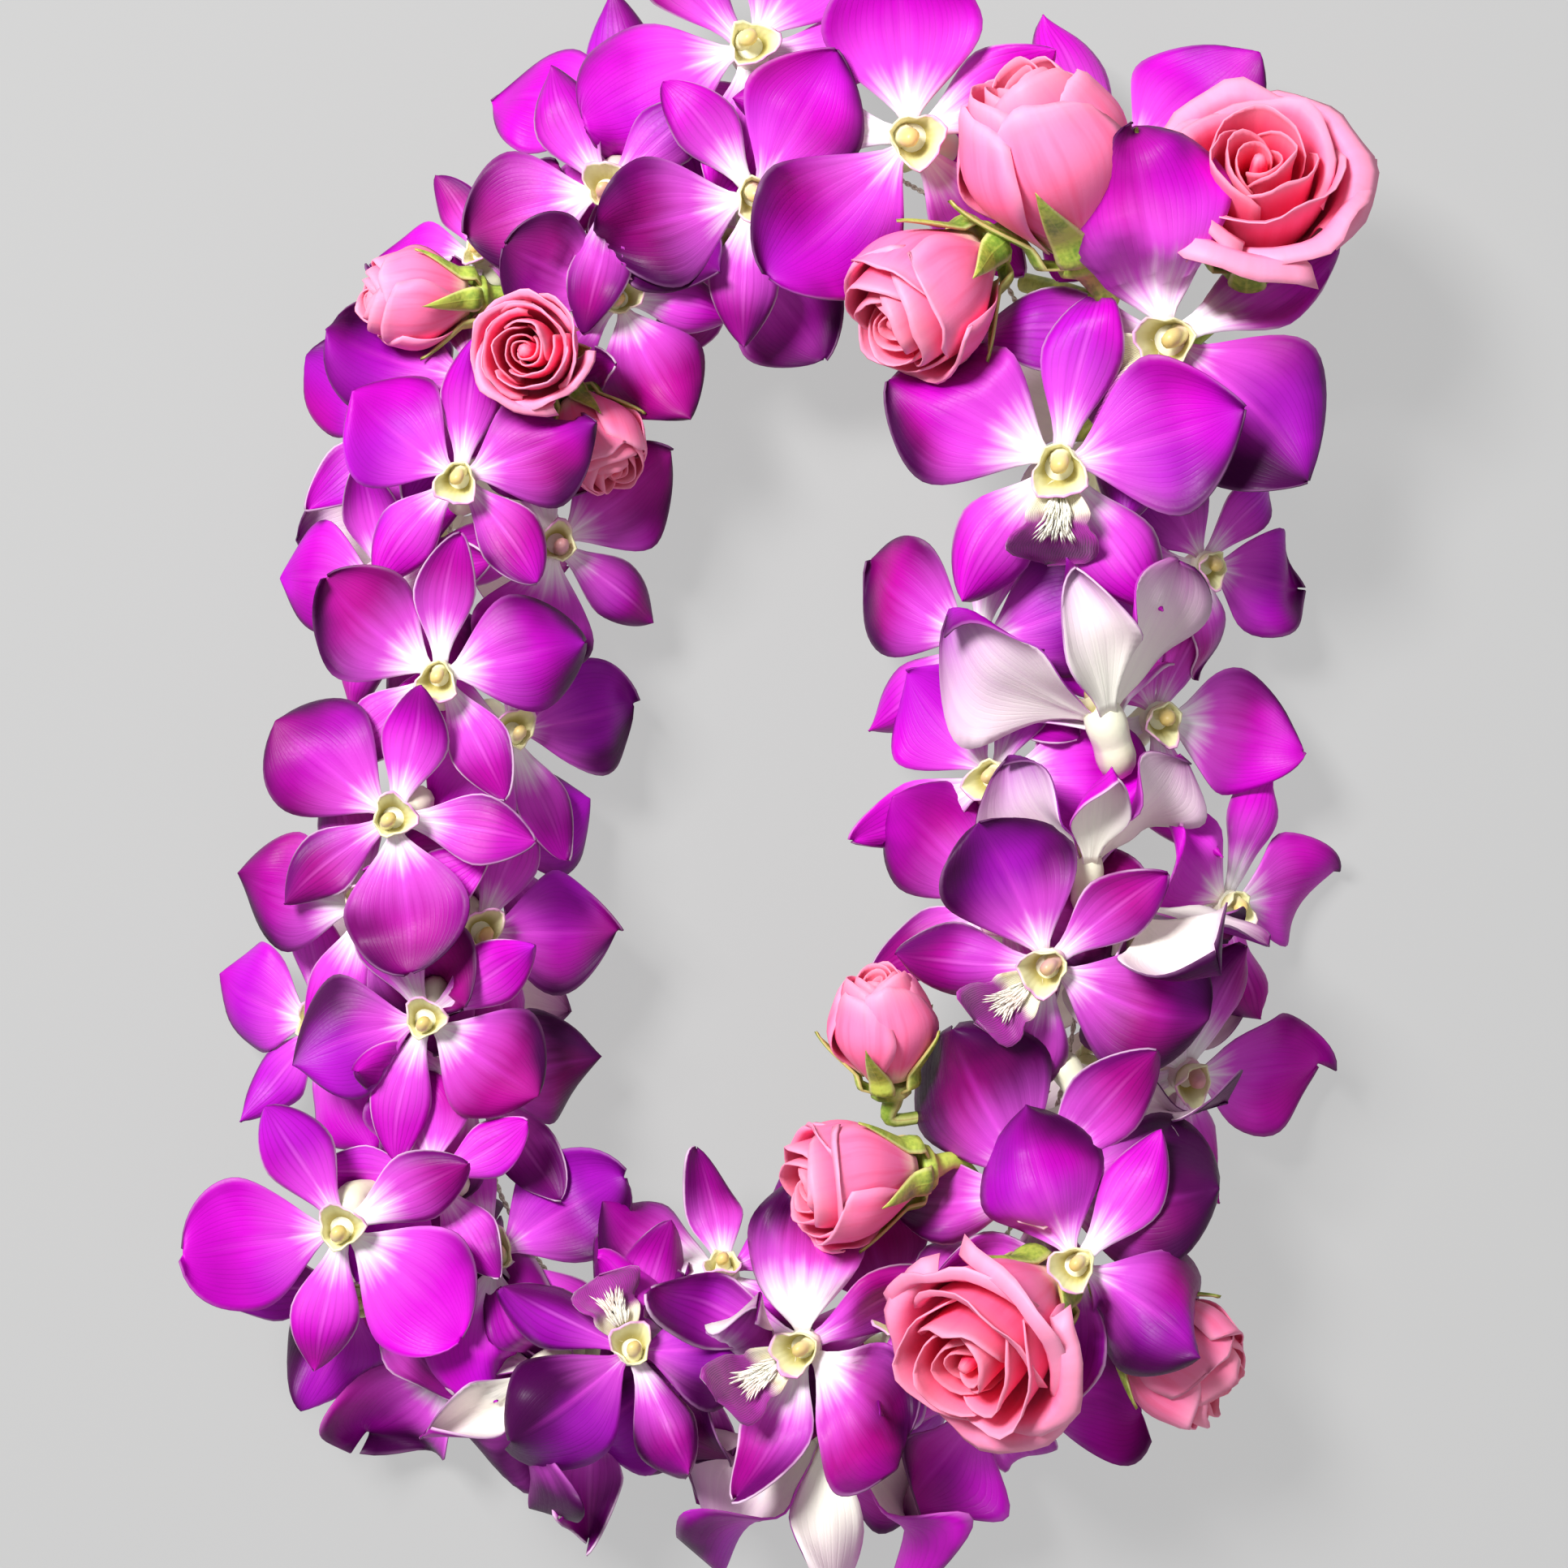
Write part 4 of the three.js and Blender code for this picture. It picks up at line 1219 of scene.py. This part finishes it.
    def _throat(self, work: Workpiece, number: int, bloom: Bloom, tone: float) -> None:
        """Adds the three-cornered cup that the lip's side lobes make round the column."""
        posy = bloom_frame(bloom)
        turned = math.radians(40 * jitter(number, 31))

        def surface(a: float, b: float) -> Vector:
            """A point of the cup."""
            around = math.pi * b
            radius = self.throat_radius * (self.throat_foot + (1 - self.throat_foot) * a ** 0.6)
            corner = self.throat_corner * math.cos(3 * around + turned)
            radius *= 1 + a * (corner + self.throat_wave * math.sin(7 * around + number))
            lean = self.throat_forward * a
            slant = 1 - self.throat_slant * math.cos(around + turned)
            height = self.throat_low + self.throat_height * a * slant
            height += self.throat_frill * a ** 4 * math.sin(5 * around + number)
            point = posy.place(radius * math.cos(around) - lean, radius * math.sin(around), height)
            point.z = max(point.z, self.thickness)
            return point

        work.sheet(
            surface, 8, 20, self.thickness, Skin.THROAT, Skin.THROAT, tone, 0.0, -posy.first)

    def _crest(self, work: Workpiece, number: int, bloom: Bloom, lip: Surface, tone: float) -> None:
        """Adds the brush of cream hairs that lies along the lip."""
        posy = bloom_frame(bloom)
        for hair in range(self.hair_count):
            share = (1 + jitter(number, 20 + hair)) / 2
            along = self.hair_from + self.hair_spread * share
            across = self.hair_across * jitter(number, 140 + hair)
            foot = lip(along, across)
            ahead = lip(min(1.0, along + self.hair_reach), across * self.hair_fan)
            lean = Vector([jitter(hair, axis) for axis in (1, 2, 3)]) * self.hair_lean
            lift = self.hair_lift - across * across * self.hair_droop
            top = ahead + (posy.third * lift + lean) * bloom.size
            middle = foot.lerp(top, 0.5) + posy.third * self.hair_arch * bloom.size
            work.tube([foot, middle, top], self.hair_radii, 4, 3, Skin.CREST, tone)


# ---- Laying the blades clear of each other -----------------------------------------------------------


@dataclass
class Blade:
    """One blade already laid: its tree of faces and its box."""

    tree: BVHTree
    low: Vector
    high: Vector


@dataclass(frozen=True)
class Ball:
    """Room that blades keep out of, over it (1) or under it (-1)."""

    centre: Vector
    radius: float
    side: int


@dataclass
class Nest:
    """Lays blades from the top down, each bent clear of the hearts, the roses and the blades before.

    Its numbers are a blade's control points, the gap it leaves, how far it looks for a laid blade,
    how much a point counts and moves at most, the lowest height, its passes and how they even the
    moves out, the share of a blade that is held at its root, and the room round hearts and chins.
    """

    rows: int = 15
    columns: int = 10
    gap: float = 1.4
    reach: float = 7.0
    vote: float = 2.0
    most: float = 16.0
    lowest: float = 0.45
    passes: int = 6
    even: float = 0.65
    even_last: float = 0.2
    held_root: float = 0.35
    heart_room: float = 8.6
    heart_height: float = 1.4
    chin_room: float = 4.4
    laid: list[Blade] = field(default_factory=list)

    def _points(self, surface: Surface) -> list[list[Vector]]:
        """The control points of a blade, row by row."""
        across = [2 * column / self.columns - 1 for column in range(self.columns + 1)]
        return [[surface(row / self.rows, b) for b in across] for row in range(self.rows + 1)]

    @staticmethod
    def _box(points: list[Vector]) -> tuple[Vector, Vector]:
        """The lowest and highest corners of the box round some points."""
        low, high = (
            Vector([most(point[axis] for point in points) for axis in range(3)]) for most in (min, max))
        return low, high

    def _meets(self, blade: Blade, low: Vector, high: Vector) -> bool:
        """Whether a laid blade's box comes near this one."""
        return all(
            blade.low[axis] <= high[axis] + margin and low[axis] <= blade.high[axis] + margin
            for axis, margin in enumerate((0, 0, self.reach)))

    def _past_blade(self, blade: Blade, points: list, shift: list) -> None:
        """Moves the blade's points to one side of a laid blade, up or down, whichever most are on.

        Args:
            blade: The laid blade.
            points: The new blade's control points, row by row.
            shift: Their moves so far, which it changes.
        """
        found = []
        for row, line in enumerate(points):
            for column, point in enumerate(line):
                place = point + shift[row][column]
                hit = blade.tree.ray_cast(place + UP * self.reach, DOWN, 2 * self.reach)[0]
                if hit is not None:
                    found.append((row, column, place.z - hit.z))
        votes = sum(
            max(-self.vote, min(self.vote, over)) * (1 + self.rows - row) for row, _, over in found)
        side = 1 if votes > 0 else -1
        for row, column, over in found:
            lack = self.gap - side * over
            if lack > 0:
                shift[row][column].z += side * lack

    @staticmethod
    def _past_ball(ball: Ball, points: list, shift: list) -> None:
        """Moves the blade's points over a ball or under it."""
        for line, moves in zip(points, shift):
            for point, move in zip(line, moves):
                away = point + move - ball.centre
                if away.length < ball.radius:
                    height = math.sqrt(ball.radius ** 2 - away.to_2d().length_squared)
                    move.z += ball.side * height - away.z

    def _smooth(self, shift: list, even: float) -> list:
        """Evens the moves out between neighbours, fades them at the root and keeps them in bounds.

        Args:
            shift: The moves, row by row.
            even: How much of each is taken from its neighbours.

        Returns:
            The new moves.
        """
        evened = []
        for row in range(self.rows + 1):
            line = []
            for column in range(self.columns + 1):
                near = [
                    move for other in shift[max(0, row - 1):row + 2]
                    for move in other[max(0, column - 1):column + 2]]
                mean = sum(near, Vector()) / len(near)
                move = mean * even + shift[row][column] * (1 - even)
                move *= smooth(0.0, self.held_root, row / self.rows)
                if move.length > self.most:
                    move *= self.most / move.length
                line.append(move)
            evened.append(line)
        return evened

    def lay(self, surface: Surface, balls: Sequence[Ball]) -> Surface:
        """Bends a blade clear of what is already laid, and lays it.

        Args:
            surface: The blade as it would be alone.
            balls: The room of the hearts and roses that it keeps out of.

        Returns:
            The blade as it lies.
        """
        points = self._points(surface)
        shift = [[Vector() for _ in line] for line in points]
        low, high = self._box([point for line in points for point in line])
        near = [blade for blade in self.laid if self._meets(blade, low, high)]
        close = [
            ball for ball in balls
            if all(low[axis] - ball.radius < ball.centre[axis] < high[axis] + ball.radius
                   for axis in range(3))]
        for turn in range(self.passes):
            for ball in close:
                self._past_ball(ball, points, shift)
            for blade in near:
                self._past_blade(blade, points, shift)
            shift = self._smooth(shift, self.even if turn + 1 < self.passes else self.even_last)

        def laid(a: float, b: float) -> Vector:
            """A point of the blade as it lies."""
            row = min(max(a, 0.0), 1.0) * self.rows
            column = (min(max(b, -1.0), 1.0) + 1) / 2 * self.columns
            up, left = min(int(row), self.rows - 1), min(int(column), self.columns - 1)
            v, u = smooth(0, 1, row - up), smooth(0, 1, column - left)
            move = (shift[up][left] * (1 - u) + shift[up][left + 1] * u) * (1 - v)
            move += (shift[up + 1][left] * (1 - u) + shift[up + 1][left + 1] * u) * v
            point = surface(a, b) + move
            point.z = max(point.z, self.lowest)
            return point

        corners = [point for line in self._points(laid) for point in line]
        across = self.columns + 1
        faces = [
            (at, at + 1, at + across + 1, at + across)
            for row in range(self.rows) for at in range(row * across, row * across + self.columns)]
        self.laid.append(Blade(BVHTree.FromPolygons(corners, faces), *self._box(corners)))
        return laid


def lay_blades(nodes: Sequence[OrchidNode]) -> dict[tuple[int, str], Surface]:
    """Lays every bloom's blades, the highest bloom first.

    Args:
        nodes: The orchid nodes.

    Returns:
        Each blade's surface, by its bloom's number and its letter.
    """
    nest = Nest()
    x, z = OrchidNode.chin_line[-1]
    chin = x, 0, z
    room = [
        ball for number, rose in enumerate(ROSES, start=1) for ball in SprayRose(number, rose).balls()]
    every = [(bloom.at[2], number, bloom, node) for node in nodes for number, bloom in node.blooms]
    laid = {}
    for height, number, bloom, node in sorted(every, key=lambda entry: -entry[0]):
        balls = []
        for level, other, beside, _ in every:
            if other == number:
                continue
            posy = bloom_frame(beside)
            side = 1 if height > level else -1
            balls += [
                Ball(posy.place(0, 0, nest.heart_height), nest.heart_room * beside.size, side),
                Ball(posy.place(*chin), nest.chin_room * beside.size, side)]
        for letter in blade_letters(bloom):
            side = 1 if letter in bloom.over else -1
            roses = [Ball(centre, radius, side) for centre, radius in room]
            laid[number, letter] = nest.lay(node.surface(number, bloom, letter), balls + roses)
    return laid


# ---- Roses ---------------------------------------------------------------------------------------


@dataclass(frozen=True)
class RoseLayer:
    """One ring of rose petals: how many, how far out, how wide round, how tall and how it opens."""

    petals: int
    reach: float
    span: float
    step: float
    top: float
    flare: float
    depth: float


ROSE_LAYERS = [
    RoseLayer(2, 0.24, 2.3, 0.12, 0.88, 0.0, 1.0),
    RoseLayer(2, 0.4, 1.95, 0.13, 0.94, 0.05, 0.8),
    RoseLayer(3, 0.6, 1.4, 0.1, 0.99, 0.12, 0.55),
    RoseLayer(3, 0.8, 1.5, 0.09, 1.0, 0.32, 0.3),
    RoseLayer(5, 0.96, 1.12, 0.1, 0.94, 0.55, 0.0),
]


@dataclass(frozen=True)
class Opening:
    """A measure of a rose's petals that grows as the rose opens."""

    bud: float
    more: float

    def at(self, openness: float) -> float:
        """The measure at an openness from 0 to 1."""
        return self.bud + self.more * openness


ROLL = Opening(0.07, 0.15)
WAVE = Opening(0.02, 0.06)
PEAK = Opening(0.03, 0.12)
ROOM = Opening(1.04, 0.3)
TURN_OF_LAYER = 36
FACING_LAYER = 2
CORE_HEIGHTS = (0.0, 0.2, 0.5, 0.8, 0.86)
CORE_RADII = (1.5, 2.2, 2.4, 1.6, 0.8)
ROOM_SHARES = ((-0.1, 0.55), (0.12, 0.85), (0.34, 1.0), (0.56, 1.0), (0.78, 0.85))


@dataclass
class SprayRose:
    """One rose, with the sizes of one at size 1: layered petals, a hip, its sepals and stem."""

    number: int
    rose: Rose
    length: float = 25.0
    radius: float = 11.5
    thickness: float = 0.3
    hip_length: float = 6.0
    hip_radius: float = 4.0
    hip_top: float = -1.9
    sepal_length: float = 16.0
    sepal_half_width: float = 3.4
    sepal_count: int = 5
    sepal_clear: float = 0.7
    sepal_thickness: float = 0.5
    sepal_least: float = 6.6
    cheek: float = 1.07
    rim_balls: int = 9
    rim_out: float = 1.1
    rim_height: float = 0.66
    rim_room: float = 0.62
    stem_radius: float = 1.5
    bud_close: float = 0.9
    open_ease: float = 0.22

    def __post_init__(self) -> None:
        """Works out the rose's frame."""
        towards, above = (math.radians(angle) for angle in self.rose.axis)
        level = math.cos(above)
        axis = Vector((level * math.cos(towards), level * math.sin(towards), math.sin(above)))
        across = Vector((-math.sin(towards), math.cos(towards), 0))
        self.posy = Posy(Vector(self.rose.at), across, axis.cross(across), axis, self.rose.size)

    def polar(self, radius: float, angle: float, height: float) -> Vector:
        """A point at a radius and angle round the rose's axis, at a height over its hip."""
        return self.posy.place(radius * math.cos(angle), radius * math.sin(angle), height)

    def profile(self, a: float, flare: float) -> float:
        """How far a petal stands out, as a share of the rose's radius; a bud closes at its tip."""
        close = self.bud_close - self.open_ease * min(1.0, self.rose.open / 0.6)
        swell = math.sin(math.pi * min(1.0, 0.04 + close * a))
        return 0.42 + 0.58 * swell ** 1.4 + flare * a ** 4

    def balls(self) -> list[tuple[Vector, float]]:
        """The rose's room: balls along its axis, and a ring of them under an open rose's rim."""
        widest = self.radius * self.rose.size * ROOM.at(self.rose.open)
        room = [
            (self.polar(0, 0, share * self.length), size * widest) for share, size in ROOM_SHARES]
        if self.rose.open > 0.5:
            for turn in range(self.rim_balls):
                angle = math.tau * turn / self.rim_balls
                centre = self.polar(self.rim_out * self.radius, angle, self.rim_height * self.length)
                room.append((centre, self.rim_room * widest))
        return room

    def head(self, row: Matrix, wardrobe: Wardrobe) -> bpy.types.Object:
        """Builds the petals.

        Args:
            row: The move into the frame.
            wardrobe: The finishes.

        Returns:
            The piece.
        """
        work = Workpiece(f"rose_{self.number:02d}_petals")
        for at, layer in enumerate(ROSE_LAYERS):
            for petal in range(layer.petals):
                self._petal(work, at, layer, petal)
        core = [self.polar(0, 0, height * self.length) for height in CORE_HEIGHTS]
        work.tube(core, CORE_RADII, 8, 8, Skin.ROSE, 1.0)
        return work.done(row, wardrobe)

    def _petal(self, work: Workpiece, at: int, layer: RoseLayer, petal: int) -> None:
        """Adds one petal, with one edge under the next and its rim rolled back.

        Args:
            work: What it is added to.
            at: The layer's place, from the middle outwards.
            layer: The layer.
            petal: The petal's place in it.
        """
        seed = 100 * self.number + 10 * at + petal
        turned = self.rose.spin + (0 if at == FACING_LAYER else TURN_OF_LAYER * at)
        middle = math.radians(turned) + petal / layer.petals * math.tau + 0.15 * jitter(petal, seed)
        flare = self.rose.open * layer.flare
        top = self.length * (layer.top - 0.3 * flare) * (1 + 0.03 * jitter(seed, 1))
        roll = ROLL.at(self.rose.open) * (0.25 + layer.flare / ROSE_LAYERS[-1].flare)
        roll *= 1 + 0.4 * jitter(seed, 5)
        wave = WAVE.at(self.rose.open)
        peak = PEAK.at(self.rose.open) * layer.reach * (1 + jitter(seed, 2)) / 2
        lean = 0.3 * jitter(seed, 3)

        def surface(a: float, b: float) -> Vector:
            """A point of the petal."""
            narrow = 0.5 + 0.5 * math.sin(math.pi * 0.5 * min(1.0, a * 1.6))
            shape = self.profile(a, flare) * (layer.reach + layer.step * b)
            ripple = math.sin(5 * b + seed) * a ** 3 + 0.5 * math.sin(11 * b + seed) * a ** 7
            shape += wave * layer.reach * ripple
            shape += roll * smooth(0.66, 1.0, a) ** 2
            crown = 1 - 0.13 * b * b * a - 0.05 * abs(b) ** 6
            crown += peak * math.exp(-((b - lean) / 0.22) ** 2) * a ** 3
            height = top * a * crown + 0.4 - self.length * roll * 0.75 * smooth(0.8, 1.0, a) ** 2
            return self.polar(self.radius * shape, middle + b * layer.span * narrow, height)

        work.sheet(
            surface, 16, 14, self.thickness, Skin.ROSE, Skin.ROSE, layer.depth, 0.0,
            self._outward(middle))

    def _outward(self, angle: float) -> Vector:
        """The way from the axis at an angle round it."""
        return self.polar(1, angle, 0) - self.polar(0, 0, 0)

    def green(self, row: Matrix, wardrobe: Wardrobe) -> bpy.types.Object:
        """Builds the hip, stem and sepals.

        Args:
            row: The move into the frame.
            wardrobe: The finishes.

        Returns:
            The piece.
        """
        work = Workpiece(f"rose_{self.number:02d}_hip_and_sepals")
        size = self.rose.size
        tie = RING.tie(Vector(self.rose.at), self.stem_radius * size, self.rose.slide)
        heights = (self.hip_top + 0.6, self._sepal_root(), -self.hip_length * 0.9, -self.hip_length - 4)
        centres = [self.polar(0, 0, height) for height in heights]
        centres += [centres[-1].lerp(tie, 0.5), tie]
        radii = [self.hip_radius * share * size for share in (1, 1.12, 0.6)]
        radii += [self.stem_radius * share * size for share in (1, 0.95, 0.9)]
        for centre, radius in zip(centres, radii):
            centre.z = max(centre.z, radius)
        work.tube(centres, radii, 12, 30, Skin.GREEN, 0.0)
        for sepal in range(self.sepal_count):
            self._sepal(work, sepal)
        return work.done(row, wardrobe)

    def _sepal_root(self) -> float:
        """The height at which the sepals leave the hip."""
        return self.hip_top - self.hip_length * 0.3

    def _sepal(self, work: Workpiece, sepal: int) -> None:
        """Adds one sepal that lies against the petals and bends away at its tip."""
        middle = sepal / self.sepal_count * math.tau + 0.1 * jitter(self.number, sepal)
        reflex = 0.4 + 1.4 * abs(jitter(sepal, self.number))

        def surface(a: float, b: float) -> Vector:
            """A point of the sepal."""
            height = self._sepal_root() + self.sepal_length * a
            beside = self.profile(max(0.0, height / self.length), 0.55 * self.rose.open)
            outside = max(self.sepal_least, self.radius * self.cheek * beside) + self.sepal_clear
            out = outside * min(1.0, 0.4 + 4 * a) + reflex * a * a - 0.5 * b * b
            half = self.sepal_half_width * (0.55 + 0.45 * smooth(0.0, 0.22, a)) * (1 - a ** 1.4)
            return self.polar(out, middle + b * half / out, height)

        work.sheet(
            surface, 14, 6, self.sepal_thickness, Skin.GREEN, Skin.GREEN, 0.0, 0.0,
            self._outward(middle))


# ---- String, floor, light and camera --------------------------------------------------------------


@dataclass
class StringLoop:
    """The cotton string that threads the garland: two strands twisted round each other."""

    strands: int = 2
    pressed: float = 0.9
    turns: int = 150
    rings: int = 1200
    sides: int = 6

    def build(self, row: Matrix, wardrobe: Wardrobe) -> bpy.types.Object:
        """Builds the string.

        Args:
            row: The move into the frame.
            wardrobe: The finishes.

        Returns:
            The piece.
        """
        work = Workpiece("twisted_string")
        corners = RING.corners()
        radius = RING.string_diameter / 4
        for strand in range(self.strands):
            start = math.tau * strand / self.strands
            verts = work.grid(self.rings, self.sides)
            work.mark(verts, Skin.STRING, 0.0)
            for vert in verts:
                share = (vert.co.x + 1) / 2 * len(corners)
                at = int(share) % len(corners)
                here, following = corners[at], corners[(at + 1) % len(corners)]
                along = (following - here).normalized()
                centre = here.lerp(following, share - int(share))
                out = along.cross(UP)
                twist = start + self.turns * math.tau * (vert.co.x + 1) / 2
                centre = centre + (out * math.cos(twist) + UP * math.sin(twist)) * radius * self.pressed
                angle = math.pi * vert.co.y
                vert.co = centre + (out * math.cos(angle) + UP * math.sin(angle)) * radius
            bmesh.ops.remove_doubles(work.bm, verts=verts, dist=STRING_SEAM)
        bmesh.ops.recalc_face_normals(work.bm, faces=work.bm.faces)
        return work.done(row, wardrobe)


@dataclass
class Studio:
    """The pale floor, the soft light and the camera over the garland, in metres but for the aim."""

    floor_size: float = 9.0
    camera_height: float = 0.771
    lens: float = 85.0
    sensor: float = 36.0
    aim: tuple[float, float] = (0.0, -3.4)
    surround: float = 0.25
    lamps: tuple = (
        ("key", (-0.6, 0.6, 1.15), 0.4, 31.0, (1.0, 0.99, 0.98)),
        ("fill", (0.5, -0.6, 1.3), 1.2, 3.0, (1.0, 1.0, 1.0)),
    )

    def build(self, row: Matrix) -> None:
        """Sets up everything that isn't part of the garland.

        Args:
            row: The move from the plan into the frame, which places the camera.
        """
        self._floor()
        middle = row @ Vector((*self.aim, 0))
        self._camera(middle)
        self._lights(middle)

    def _floor(self) -> None:
        """Adds the floor."""
        bm = bmesh.new()
        bmesh.ops.create_grid(bm, x_segments=1, y_segments=1, size=self.floor_size / 2)
        mesh = bpy.data.meshes.new("studio_floor")
        bm.to_mesh(mesh)
        bm.free()
        mesh.materials.append(FloorFinish().make())
        floor = bpy.data.objects.new("studio_floor", mesh)
        bpy.context.collection.objects.link(floor)

    def _camera(self, middle: Vector) -> None:
        """Adds the camera, looking straight down."""
        data = bpy.data.cameras.new("camera")
        data.lens = self.lens
        data.sensor_width = self.sensor
        data.clip_start = 0.01
        camera = bpy.data.objects.new("camera", data)
        camera.location = (middle.x, middle.y, self.camera_height)
        bpy.context.collection.objects.link(camera)
        bpy.context.scene.camera = camera

    def _lights(self, middle: Vector) -> None:
        """Adds a large soft key from the upper left, a fill and a bright even surround."""
        for name, offset, size, power, colour in self.lamps:
            data = bpy.data.lights.new(name, "AREA")
            data.size = size
            data.energy = power
            data.color = colour
            lamp = bpy.data.objects.new(name, data)
            lamp.location = Vector((middle.x, middle.y, 0)) + Vector(offset)
            lamp.rotation_euler = (-Vector(offset)).to_track_quat("-Z", "Y").to_euler()
            bpy.context.collection.objects.link(lamp)
        world = bpy.data.worlds.new("surround")
        world.use_nodes = True
        back = world.node_tree.nodes["Background"]
        back.inputs["Color"].default_value = (1.0, 1.0, 1.0, 1.0)
        back.inputs["Strength"].default_value = self.surround
        bpy.context.scene.world = world
        bpy.context.scene.view_settings.view_transform = "Standard"


def orchid_nodes() -> list[OrchidNode]:
    """Groups the blooms by the node they share."""
    groups: list[list[tuple[int, Bloom]]] = []
    for number, bloom in enumerate(BLOOMS, start=1):
        if bloom.joined:
            groups[-1].append((number, bloom))
        else:
            groups.append([(number, bloom)])
    return [OrchidNode(group) for group in groups]


def settle(piece: bpy.types.Object, node: str) -> None:
    """Hands a finished piece to the frame.

    Args:
        piece: The piece.
        node: The frame's node that it replaces.
    """
    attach(piece, "root")
    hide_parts(node)
    log.info("%s: %d faces", piece.name, len(piece.data.polygons))


def main() -> None:
    """Builds the garland and its studio, and notes the two boxes."""
    logging.basicConfig(level=logging.INFO, format="%(message)s")
    row = row_matrix()
    wardrobe = Wardrobe()
    settle(StringLoop().build(row, wardrobe), "string_loop")
    nodes = orchid_nodes()
    settled = lay_blades(nodes)
    log.info("laid %d blades", len(settled))
    for node in nodes:
        settle(node.build(row, wardrobe, settled), node.node)
    for number, rose in enumerate(ROSES, start=1):
        spray = SprayRose(number, rose)
        settle(spray.head(row, wardrobe), f"rose_{number:02d}_head")
        settle(spray.green(row, wardrobe), f"rose_{number:02d}_green")
    Studio().build(row)


if __name__ == "__main__":
    main()
